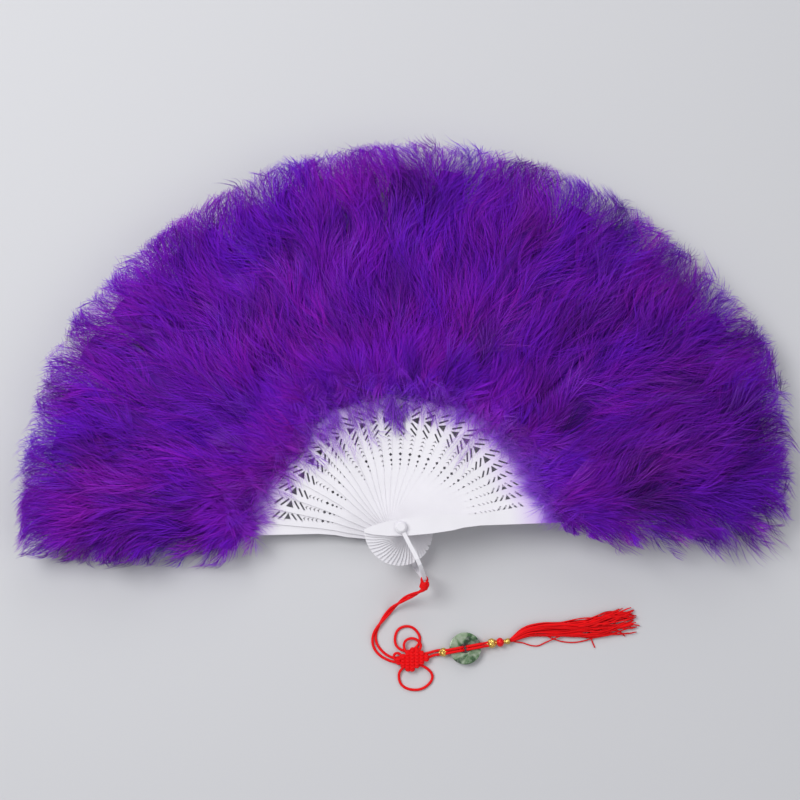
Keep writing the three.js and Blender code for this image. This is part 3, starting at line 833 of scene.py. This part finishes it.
class FAN_OT_disc(bpy.types.Operator):
    """Adds the mottled jade disc with its hole. Its section is an ellipse whose cosine and sine are
    raised to a small power, which makes it nearly a rectangle with round corners."""

    bl_idname = "feather_fan.disc"
    bl_label = "Jade Disc"

    def execute(self, context):
        low, high = (np.array(corner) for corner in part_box("jade_disc"))
        outer, half_thick = (high[0] - low[0]) / 2, (high[2] - low[2]) / 2
        middle, half_width = (outer + DISC_HOLE) / 2, (outer - DISC_HOLE) / 2
        turns = TURN * np.arange(44)[:, None] / 44
        section = np.concatenate([np.cos(turns), np.sin(turns)], axis=1)
        section = np.sign(section) * np.abs(section) ** DISC_SQUARENESS
        surface = Surface()
        profile = (middle, 0) + section * (half_width, half_thick)
        surface.turned(profile, 128, (low + high) / 2, UP, closed=True)
        disc = surface.piece("jade_ring", jade_material(context.scene.feather_fan.trinkets))
        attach(disc, "bail")
        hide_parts("jade_disc")
        return {"FINISHED"}


def twin_strands(route, to_knot, settings):
    """The two strands along a route whose points have those lengths to the knot. They lie to both
    sides of the route, further apart in two bell curves near the knot, and swing round it: a
    quarter turn by the cube of the way to the first crossing, then evenly. Where the route is on
    the table and they lie side by side they are let down."""
    tangents = unit(np.gradient(route, axis=0))
    across = unit(np.cross(tangents, UP))
    above = np.cross(across, tangents)
    widening = 1 + sum(
        height * bell(to_knot / MM, middle, width) for height, middle, width in WIDENINGS)
    past = np.maximum(to_knot - settings.crossing, 0) / settings.twist_length
    swing = TURN / 4 * np.minimum(to_knot / settings.crossing, 1) ** 3 + TURN * past
    on_table = np.clip((TABLE_ROUTE - route[:, 2]) / MM, 0, 1)
    lowered = route - (LET_DOWN * np.cos(swing) ** 2 * on_table)[:, None] * UP
    away = (np.cos(swing) * widening)[:, None] * across + np.sin(swing)[:, None] * above
    away *= settings.strand_radius + 0.02 * MM
    return [lowered - away, lowered + away]


def hitch(start, end, radii, rounds):
    """Turns of the cord round a line: places along the line, out by the first radius times the
    cosine of the turn to its side, and by the second times the sine above it."""
    share = np.linspace(0, 1, 80)[:, None]
    turns = TURN * rounds * share
    along = unit(end - start)
    across = across_of(along, (0, 1, 0))
    out = radii[0] * np.cos(turns) * across + radii[1] * np.sin(turns) * np.cross(across, along)
    return start + share * (end - start) + MM * out


class FAN_OT_cord(bpy.types.Operator):
    """Adds the doubled cord from the bail's tip to the tassel's cap."""

    bl_idname = "feather_fan.cord"
    bl_label = "Cord"

    def execute(self, context):
        settings = context.scene.feather_fan.cord
        radius = settings.strand_radius
        surface = Surface()
        for points, knot_last in ((CORD_TO_KNOT, True), (CORD_TO_BEAD, False)):
            route = smooth_route(from_foot(points), 8)
            lengths = lengths_along(route)
            to_knot = lengths[-1] - lengths if knot_last else lengths
            for strand in twin_strands(route, to_knot, settings):
                surface.tubes(strand[None], radius, 12)
        sides = (-1, 1)
        surface.tubes([
            smooth_route(strand_at_disc(towards, side), 5) for towards in sides for side in sides
        ], radius, 12)
        in_knot = from_foot([CORD_TO_KNOT[-1], IN_KNOT, CORD_TO_BEAD[0]])
        ends = [from_foot(BEAD_PLACES[name]) for name in ("gold_bead_2", "red_bead", "tassel_cap")]
        for points in (in_knot, ends):
            surface.tubes(smooth_route(points, 8)[None], radius, 12)
        for points, radii, rounds in HITCHES:
            surface.tubes(hitch(*from_foot(points), radii, rounds)[None], radius, 12)
        material = cord_material("red_cord", settings.red, (2, 90, 1))
        cord = surface.piece("red_hanging_cord", material)
        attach(cord, "bail")
        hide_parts("hanging_cord")
        return {"FINISHED"}


class FAN_OT_tassel(bpy.types.Operator):
    """Adds the tassel's threads. Each goes along the tassel's line at its own depth and turn in the
    oval there, with a slow wave that grows along it, and strays lie beside them."""

    bl_idname = "feather_fan.tassel"
    bl_label = "Tassel"

    def execute(self, context):
        settings = context.scene.feather_fan.cord
        rng = np.random.default_rng(SEED)
        count, rings, sides = settings.threads, 30, 6
        radius = settings.thread_radius
        line = smooth_route(from_foot(TASSEL_LINE), 6)
        line_shares = shares_along(line)
        stations = shares_along(from_foot(TASSEL_LINE))
        way = rng.uniform(0.8, 1.0, count)[:, None] * np.linspace(0, 1, rings)
        middle = np.stack([np.interp(way, line_shares, line[:, n]) for n in range(3)], axis=-1)
        half_width = np.interp(way, stations, TASSEL_WIDTHS) * MM / 2
        half_height = np.interp(way, stations, TASSEL_HEIGHTS) * MM / 2
        turn = rng.uniform(0, TURN, count)[:, None]
        depth = np.sqrt(rng.uniform(0.02, 1, count))[:, None]
        drift = rng.uniform(-0.9, 0.9, count)[:, None] * way
        waves = rng.uniform(1.2, 3.2, count)[:, None]
        phase = rng.uniform(0, TURN, count)[:, None]
        wander = 0.24 * np.sin(TURN * waves * way + phase) * way
        side = depth * np.cos(turn + drift) + wander
        rise = depth * np.sin(turn + 0.6 * drift)
        across = unit(np.cross(UP, unit(np.gradient(middle, axis=1))))
        paths = middle + (side * half_width)[..., None] * across
        paths[..., 2] = np.maximum(paths[..., 2] + rise * half_height, radius + 0.1 * MM)
        radii = radius * np.array([1] * (rings - 1) + [0.7])
        surface = Surface()
        surface.tubes(paths, radii, sides)
        surface.note(shade=np.repeat(rng.uniform(0, 1, count), rings * sides))
        for stray in STRAYS:
            route = smooth_route(from_foot(stray), 6)
            surface.tubes(route[None], radius, sides)
            surface.note(shade=np.full(len(route) * sides, 0.5))
        tassel = surface.piece("tassel_threads", thread_material(settings.red))
        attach(tassel, "bail")
        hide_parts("tassel")
        return {"FINISHED"}


class FAN_OT_sticks(bpy.types.Operator):
    """Gives the sticks, the pin and the bail their moulded plastic."""

    bl_idname = "feather_fan.sticks"
    bl_label = "Sticks"

    def execute(self, context):
        plastic = plastic_material(context.scene.feather_fan.sticks)
        for name in (*STICKS, "pivot_pin", "bail_loop"):
            node = frame["nodes"][name]
            node.data.materials.clear()
            node.data.materials.append(plastic)
        return {"FINISHED"}


# Along a plume, as shares of the way from its root to its rim: how high the crown and how far up
# the underside are there, as shares of the plume's rise and of the rim's lift
STATION_SHARES = [-0.3, 0, 0.28, 0.55, 0.8, 0.93, 1.08]
CROWN_SHARES = [0.3, 0.7, 0.97, 1, 0.85, 0.6, 0.35]
LIFT_SHARES = [0, 0, 0, 0, 0, 0.3, 0.9]
RIM_LIFT = 11 * MM
# Where a plume's body starts, and its length where the radii of its bunches hold as written
PLUME_ROOT = 113 * MM
PLUME_LENGTH = 133 * MM
# How far out the rim of the down lies, in millimetres, by direction in degrees
RIM_DEGREES = [0, 8, 20, 28, 38, 60, 90, 120, 133, 146, 162, 170, 180]
RIM_RADII = [236, 247, 260, 267, 259, 255, 249, 244, 242, 246, 241, 237, 235]
# Where the down begins to cover each stick, in millimetres, from the rear guard to the front one,
# and the one of these that the bunches of the ribs are written for
EDGE_RADII = [
    90, 89, 89, 83, 77, 75, 79, 82, 81, 81.5, 81.5, 81.5, 81.5, 81.5, 80, 79.5, 82, 83.5, 83.5, 86,
    87.5, 88, 89, 88.5, 90, 92, 95,
]
WRITTEN_EDGE = 77
# How far the down of the two guards stands out beyond them, in millimetres, by the radius
SPREAD_ALONG = [100, 113, 140, 165, 186, 222]
END_SPREADS = {0: [20, 26, 27, 27, 26, 24], LAST: [12, 16, 25, 32, 41, 47]}
# The rib over whose pattern a tuft hangs further in, and those over whose patterns wisps lie
TONGUE_RIB = 13
VEIL_RIBS = (8, 9, 10, 18)
# Rings of a barb, and sides of a ring
BARB_RINGS, BARB_SIDES = 4, 3
# The middle of a slat
SLAT_MIDDLE = 170 * MM
# Slow waves over the fan: the lie of the barbs, painted light and shade in broad patches of the
# down, and its redness
LIE = slow_waves(SEED, (34, 100), 0.28)
LIGHT = slow_waves(SEED + 1, (22, 66), 0.12)
REDNESS = slow_waves(SEED + 2, (34, 120), 0.24)


def stick_direction(name):
    """The direction of a stick in the stack's plane, from its slat's outer part."""
    stick = to_stack(node_points(name))
    tip = stick[np.hypot(stick[:, 0], stick[:, 1]) > 150 * MM].mean(0)
    return math.atan2(tip[1], tip[0]) % TURN


DIRECTIONS = [stick_direction(name) for name in STICKS]


class Plume:
    """Where one stick's plume lies, read from its solids: the stick's direction and heights, the
    half sectors to its neighbours, how far out the rim is, and for a guard how far the plume
    spreads and the side (left 1, right -1) on which it has no neighbour."""

    def __init__(self, number, settings):
        name = STICKS[number]
        heights = to_stack(node_points(name))[:, 2]
        self.number = number
        self.bottom, self.top = heights.min(), heights.max()
        self.direction = DIRECTIONS[number]
        down = to_stack(node_points(name + "_plume"))
        across = down[:, 1] * math.cos(self.direction) - down[:, 0] * math.sin(self.direction)
        self.left, self.right = across.max(), -across.min()
        gaps = -np.diff(DIRECTIONS) / 2
        self.half_left, self.half_right = gaps[max(number - 1, 0)], gaps[min(number, LAST - 1)]
        self.reach = np.interp(math.degrees(self.direction), RIM_DEGREES, RIM_RADII) * MM
        self.stretch = (self.reach - PLUME_ROOT) / PLUME_LENGTH
        self.outer = {0: 1, LAST: -1}.get(number, 0)
        self.rise = settings.rise

    def stretched(self, radius):
        """A radius, in millimetres, drawn out beyond the root with the plume's own length."""
        if radius * MM < PLUME_ROOT:
            return radius
        return (PLUME_ROOT + (radius * MM - PLUME_ROOT) * self.stretch) / MM

    def station(self, along, shares):
        """The share at a place along the plume, between those given at its stations."""
        return np.interp((along - PLUME_ROOT) / (self.reach - PLUME_ROOT), STATION_SHARES, shares)

    def flat(self, along, beside):
        """Those places in the stack's plane: right and back from the pivot."""
        cosine, sine = math.cos(self.direction), math.sin(self.direction)
        return along * cosine - beside * sine, along * sine + beside * cosine

    def stick_height(self, along, beside):
        """Height of the stick's underside above the table at a place in the stack's plane."""
        return PIVOT[2] + STACK_UP[2] * self.bottom - STACK_UP[0] * self.flat(along, beside)[0]

    def crown(self, along, beside):
        """Height above the table of the top of the down: the stick plus the rise there."""
        rise = self.rise * self.station(along, CROWN_SHARES)
        return self.stick_height(along, beside) + 1 * MM + rise

    def floor(self, along, beside):
        """Lowest height of the down: on the next sticks near the handle, then the table, and
        raised at the rim."""
        over_sticks = self.stick_height(along, beside) + (self.top - self.bottom) + 1.5 * MM
        blend = np.clip((along - 108 * MM) / (10 * MM), 0, 1)
        lift = RIM_LIFT * self.station(along, LIFT_SHARES)
        return over_sticks * (1 - blend) + (lift + 0.5 * MM) * blend

    def place(self, along, beside, height):
        """Points at those places of the stack's plane and at those heights above the table."""
        x, y = self.flat(along, beside)
        z = (height - PIVOT[2] + STACK_UP[0] * x) / STACK_UP[2]
        return from_stack(np.stack([x, y, z], axis=-1))

    def in_sector(self, along, share):
        """Places beside the stick: shares of its half sector, to the left where above zero."""
        half = np.where(share > 0, np.tan(self.half_left), np.tan(self.half_right))
        return share * half * along


class Bunch:
    """Like feathers of a plume: their count, share of the barbs, root radii in millimetres, depth
    from the underside (-1) to the crown (1), mean yaw and its spread in degrees, and quill length
    in millimetres; then where they differ the barbs' length and thickness as shares, their
    paleness, how far aside they grow, and the side that they stand out on."""

    def __init__(self, count, share, roots, depth, yaw, spread, quill, barb=1, thin=1, wisp=0,
                 aside=0, outer=0):
        self.count, self.share, self.roots, self.depth = count, share, roots, depth
        self.yaw, self.spread, self.quill = math.radians(yaw), math.radians(spread), quill
        self.barb, self.thin, self.wisp, self.aside, self.outer = barb, thin, wisp, aside, outer


def feather_bunches(plume):
    """The bunches of one plume. Those of its edge over the stick, the second to the fifth, start
    where the edge is there; the guards have more that stand out to their free side."""
    bunches = [
        Bunch(46, 31, (104, 212), (0.4, 1), 0, 19, (22, 46)),
        Bunch(26, 29, (81, 106), (0.15, 0.8), 0, 26, (9, 22), barb=0.75),
        Bunch(38, 19, (79, 99), (0.05, 0.5), 0, 62, (3, 9), barb=0.42),
        Bunch(7, 5, (92, 108), (0.3, 0.8), 180, 44, (3, 8), barb=0.5, wisp=0.15, thin=0.85),
        Bunch(18, 6, (78, 97), (0.1, 0.5), 180, 40, (3, 9), barb=0.45, wisp=0.6, thin=0.6),
        Bunch(8, 8, (104, 200), (-0.4, 0.4), 0, 16, (36, 56)),
        Bunch(10, 10, (108, 200), (-1, -0.4), 0, 20, (32, 52)),
        Bunch(56, 31, (186, 231), (-0.7, 0.9), 0, 20, (14, 34), barb=0.85, thin=0.9),
    ]
    side = plume.outer
    creep = WRITTEN_EDGE - EDGE_RADII[plume.number]
    near = 7 if plume.number == 0 else 0
    for bunch, low in zip(bunches[1:5], (94, 95, 104, 99)):
        if side:
            bunch.roots = (low - near, low - near + 16)
        else:
            bunch.roots = [radius - creep for radius in bunch.roots]
    if side:
        yaw, barb = (40, 0.58) if plume.number == 0 else (27, 0.5)
        bunches += [
            Bunch(count, 0.7 * count, (102 - near, 222), depth, side * yaw, 20, (10, 26),
                  barb=barb, outer=side)
            for depth, count in (((0.1, 0.95), 46), ((-1, 0.1), 40))
        ]
        bunches.append(Bunch(
            18, 11, (99 - 1.5 * near, 120), (-0.6, 0.8), side * 1.4 * yaw, 26, (5, 12), barb=0.4,
            outer=side))
    if plume.number == TONGUE_RIB:
        bunches.append(Bunch(
            18, 10, (74, 92), (0.5, 1), 180, 5, (5, 12), barb=0.5, wisp=0.45, thin=0.75, aside=3.5))
    if plume.number in VEIL_RIBS:
        bunches.append(Bunch(
            14, 3, (70, 92), (0.5, 1), 180, 14, (5, 14), barb=0.55, wisp=0.9, thin=0.45))
    for bunch in bunches:
        bunch.roots = [plume.stretched(radius) for radius in bunch.roots]
    return bunches


def strand_paths(plume, bunch, strands, rng, settings):
    """Paths, radii and numbers of the barbs of one bunch. A feather's quill is an arc in the
    plume's plane; barbs leave it on both sides at an angle that closes towards its tip, follow the
    lie of the down, a slow wave over the whole fan, and waver. A path is the sum of equal steps in
    those directions, held between the underside and the crown."""
    # Each feather's root, its place beside the stick as a share of the half sector, or off the free
    # side of a guard, and its depth, yaw, bend, quill length and looks: its shade and tint, and a
    # paleness that paints a lilac highlight on a few feathers
    count = bunch.count
    root = np.sort(rng.uniform(*bunch.roots, count)) * MM
    beside = plume.in_sector(root, rng.uniform(-1.1, 1.1, count)) + bunch.aside * MM
    if bunch.outer:
        beside = bunch.outer * rng.uniform(2, 9, count) * MM
        if plume.number == LAST:
            beside = beside - rng.uniform(0, 0.2, count) * (root - 102 * MM)
    depth = rng.uniform(*bunch.depth, count)
    yaw = bunch.yaw + np.clip(rng.normal(0, 0.7, count), -1.1, 1.1) * bunch.spread
    bend = rng.normal(0, 0.35, count)
    quill = rng.uniform(*bunch.quill, count) * MM
    feather_shade = rng.normal(0, 1, count)
    feather_tint = rng.normal(0, 0.22, count)
    # A painted highlight: a few feathers paled towards lilac
    paleness = np.clip(rng.normal(-0.22, 0.25, count), 0, 0.4)

    # Each barb's feather, its share of the way along the quill and its side of it, the angle at
    # which it leaves (30 degrees at the quill's root and 12 at its tip), its length, which is
    # greatest at the quill's middle, and how it wavers and rises
    feather = rng.integers(0, count, strands)
    way = rng.uniform(0, 1, strands) ** 0.85
    side = rng.choice([-1.0, 1.0], strands)
    quill_heading = yaw[feather] + 0.5 * bend[feather] * way
    along = root[feather] + quill[feather] * way * np.cos(quill_heading)
    beside = beside[feather] + quill[feather] * way * np.sin(quill_heading)
    first_x, first_y = plume.flat(along, beside)
    opening = side * np.radians(30 * (1 - 0.6 * way) + rng.normal(0, 7, strands))
    length = settings.barb_length * bunch.barb * rng.uniform(0.6, 1.12, strands)
    length *= 0.72 + 0.28 * np.sin(math.pi * (0.1 + 0.8 * way))
    waver = rng.uniform(0.04, 0.14, strands)
    cycles = rng.uniform(0.4, 1.0, strands)
    phase = rng.uniform(0, TURN, strands)
    lean = rng.normal(0.08, 0.16, count)[feather] + rng.normal(0, 0.08, strands)
    leap = length / (BARB_RINGS - 1)
    upward = np.zeros(strands)
    steps = [(along, beside, upward)]
    for part in np.linspace(0, 1, BARB_RINGS)[:-1]:
        turn = yaw[feather] + bend[feather] * way + opening * (1 - 0.85 * part)
        turn = turn + wave_height(LIE, *plume.flat(along, beside))
        turn = turn + waver * np.sin(TURN * cycles * part + phase)
        climb = lean + 0.08 * np.sin(TURN * cycles * part + 2 * phase)
        along = along + leap * np.cos(turn) * np.cos(climb)
        beside = beside + leap * np.sin(turn) * np.cos(climb)
        upward = upward + leap * np.sin(climb)
        steps.append((along, beside, upward))
    along, beside, upward = np.stack(steps, axis=-1)
    # A quarter of what goes past the guards' outline is left, and 28% of what goes past the rim
    if plume.outer:
        out = plume.outer * beside
        past = out - np.interp(along / MM, SPREAD_ALONG, END_SPREADS[plume.number]) * MM
        beside = plume.outer * (out - 0.75 * np.maximum(past, 0))
    along = along - 0.72 * np.maximum(along - plume.reach, 0)
    crown, floor = plume.crown(along, beside), plume.floor(along, beside)
    middle = plume.stick_height(along, beside) + 1 * MM
    level = depth[feather][:, None] * (0.62 + 0.38 * way[:, None])
    base = middle + level * np.where(level > 0, crown - middle, middle - floor)
    radius = settings.strand_radius * bunch.thin
    height = np.clip(base + upward, floor + radius, crown + 3 * MM)
    paths = plume.place(along, beside, height)
    step = np.linspace(0, 1, BARB_RINGS)[None, :]
    taper = np.interp(step, [0, 0.3, 0.7, 1], [0.6, 1, 0.75, 0])
    radii = radius * rng.uniform(0.75, 1.2, strands)[:, None] * taper

    # Painted shade and light: barbs darker at their roots, in the down's hollows, and lighter
    # towards their lit tips, with a shade that differs from feather to feather and from barb to
    # barb
    shade = 0.36 + 0.34 * (way[:, None] * 0.5 + 0.5 * step) ** 0.8
    shade = shade + 0.15 * feather_shade[feather][:, None] + rng.normal(0, 0.045, strands)[:, None]
    # Painted light and shade: broad lighter and darker patches, paler near the handle, and painted
    # shade towards the right, the low side and both ends of the fan; the tint is redder near the
    # handle
    near_handle = bell(np.hypot(first_x, first_y), 118 * MM, 34 * MM)
    light = wave_height(LIGHT, first_x, first_y) + 0.08 * near_handle + 0.4 * (first_y - 0.13)
    light += 0.9 * np.minimum(first_y - 0.06, 0) - 0.3 * first_x - 0.2 * np.abs(first_x)
    tint = 0.38 + feather_tint[feather] + rng.normal(0, 0.05, strands)
    tint = tint + wave_height(REDNESS, first_x, first_y) + 0.12 * near_handle
    return paths, radii, {
        "shade": np.clip(shade + light[:, None], 0, 1),
        "tint": np.broadcast_to(np.clip(tint, 0, 1)[:, None], shade.shape),
        "wisp": (bunch.wisp + paleness[feather][:, None]) * (0.35 + 0.65 * step),
    }


def add_thick(surface, plume):
    """The dense down round the slat: rounded rings along the plume, roughened by sines, and
    coloured dark as painted shade under the barbs, paler at its inner end. Their points go round
    clockwise, so that the faces look outwards."""
    start = 106 if plume.outer else EDGE_RADII[plume.number] + 11
    along = np.linspace(start * MM, 0.95 * plume.reach, 28)[:, None]
    turns = -TURN * np.arange(20) / 20
    closing = np.sqrt(np.clip(np.sin(np.linspace(0.02, 0.98, len(along)) * math.pi), 0, 1))[:, None]
    left = along * math.tan(plume.half_left) + 0.5 * MM
    right = along * math.tan(plume.half_right) + 0.5 * MM
    # The guards' swells towards a third of the solid plume's spread on the free side
    if plume.outer > 0:
        left = left + (plume.left * 0.34 - left) * closing ** 2
    if plume.outer < 0:
        right = right + (plume.right * 0.34 - right) * closing ** 2
    cosine, sine = np.cos(turns), np.sin(turns)
    rough = 1 + 0.06 * np.sin(5 * turns + 210 * along + plume.number)
    rough += 0.05 * np.sin(9 * turns - 330 * along)
    away = np.where(cosine > 0, left, right) * cosine * rough * (0.3 + 0.7 * closing)
    along = np.broadcast_to(along, away.shape)
    crown, floor = plume.crown(along, away), plume.floor(along, away)
    middle = np.maximum(plume.stick_height(along, away) + 1 * MM, floor + 0.5 * MM)
    upper = middle + 0.34 * (crown - middle) * sine * rough * closing
    lower = middle + 0.86 * (middle - floor) * sine * closing
    surface.rings(plume.place(along, away, np.where(sine > 0, upper, lower))[None])
    # Painted shade: the thick is dark under the barbs and paler at its inner end
    collar = bell(along, start * MM, 14 * MM)
    plain = np.zeros(along.shape)
    surface.note(shade=0.2 + 0.2 * collar, tint=plain + 0.2, wisp=plain)


class FAN_OT_plumes(bpy.types.Operator):
    """Adds the plume of marabou down on each stick."""

    bl_idname = "feather_fan.plumes"
    bl_label = "Plumes"

    def execute(self, context):
        settings = context.scene.feather_fan.plumes
        material = down_material(settings)
        for number, name in enumerate(STICKS):
            self.add_plume(number, name, settings, material)
        return {"FINISHED"}

    def add_plume(self, number, name, settings, material):
        """One plume: its barbs in bunches, and its thick of down."""
        rng = np.random.default_rng(SEED + 100 + number)
        plume = Plume(number, settings)
        bunches = feather_bunches(plume)
        weights = np.array([bunch.share for bunch in bunches])
        total = settings.end_strands if plume.outer else settings.strands
        surface = Surface()
        for bunch, weight in zip(bunches, weights / weights.sum()):
            strands = int(total * weight)
            paths, radii, numbers = strand_paths(plume, bunch, strands, rng, settings)
            surface.barbs(paths, radii, BARB_SIDES, numbers)
        add_thick(surface, plume)
        piece = surface.piece(f"{name}_down", material)
        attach(piece, "root" if number == 0 else name)
        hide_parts(f"{name}_plume")
        middle = plume.place(SLAT_MIDDLE, 0, plume.stick_height(SLAT_MIDDLE, 0))
        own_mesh(piece)


class FAN_PT_sidebar(bpy.types.Panel):
    """Lists the fan's pieces and their settings."""

    bl_idname = "FAN_PT_sidebar"
    bl_label = "Feather Fan"
    bl_space_type = "VIEW_3D"
    bl_region_type = "UI"
    bl_category = "Feather Fan"

    def draw(self, context):
        layout = self.layout
        settings = context.scene.feather_fan
        for group in (settings.stage, settings.cord, settings.trinkets, settings.sticks,
                      settings.plumes):
            box = layout.box()
            for key in group.__annotations__:
                box.prop(group, key)
        for operator in OPERATORS:
            layout.operator(operator.bl_idname)


OPERATORS = (
    FAN_OT_stage, FAN_OT_knot, FAN_OT_beads, FAN_OT_disc, FAN_OT_cord, FAN_OT_tassel,
    FAN_OT_sticks, FAN_OT_plumes,
)
CLASSES = (
    PlumeSettings, StickSettings, CordSettings, TrinketSettings, StageSettings, FanSettings,
    *OPERATORS, FAN_PT_sidebar,
)


def register():
    """Registers the classes and puts the settings on the scene."""
    for kind in CLASSES:
        bpy.utils.register_class(kind)
    bpy.types.Scene.feather_fan = PointerProperty(type=FanSettings)


def unregister():
    """Takes the settings and the classes away again."""
    del bpy.types.Scene.feather_fan
    for kind in reversed(CLASSES):
        bpy.utils.unregister_class(kind)


def main():
    """Builds every piece in order."""
    register()
    bpy.ops.feather_fan.stage()
    bpy.ops.feather_fan.knot()
    bpy.ops.feather_fan.beads()
    bpy.ops.feather_fan.disc()
    bpy.ops.feather_fan.cord()
    bpy.ops.feather_fan.tassel()
    bpy.ops.feather_fan.sticks()
    bpy.ops.feather_fan.plumes()


if __name__ == "__main__":
    main()
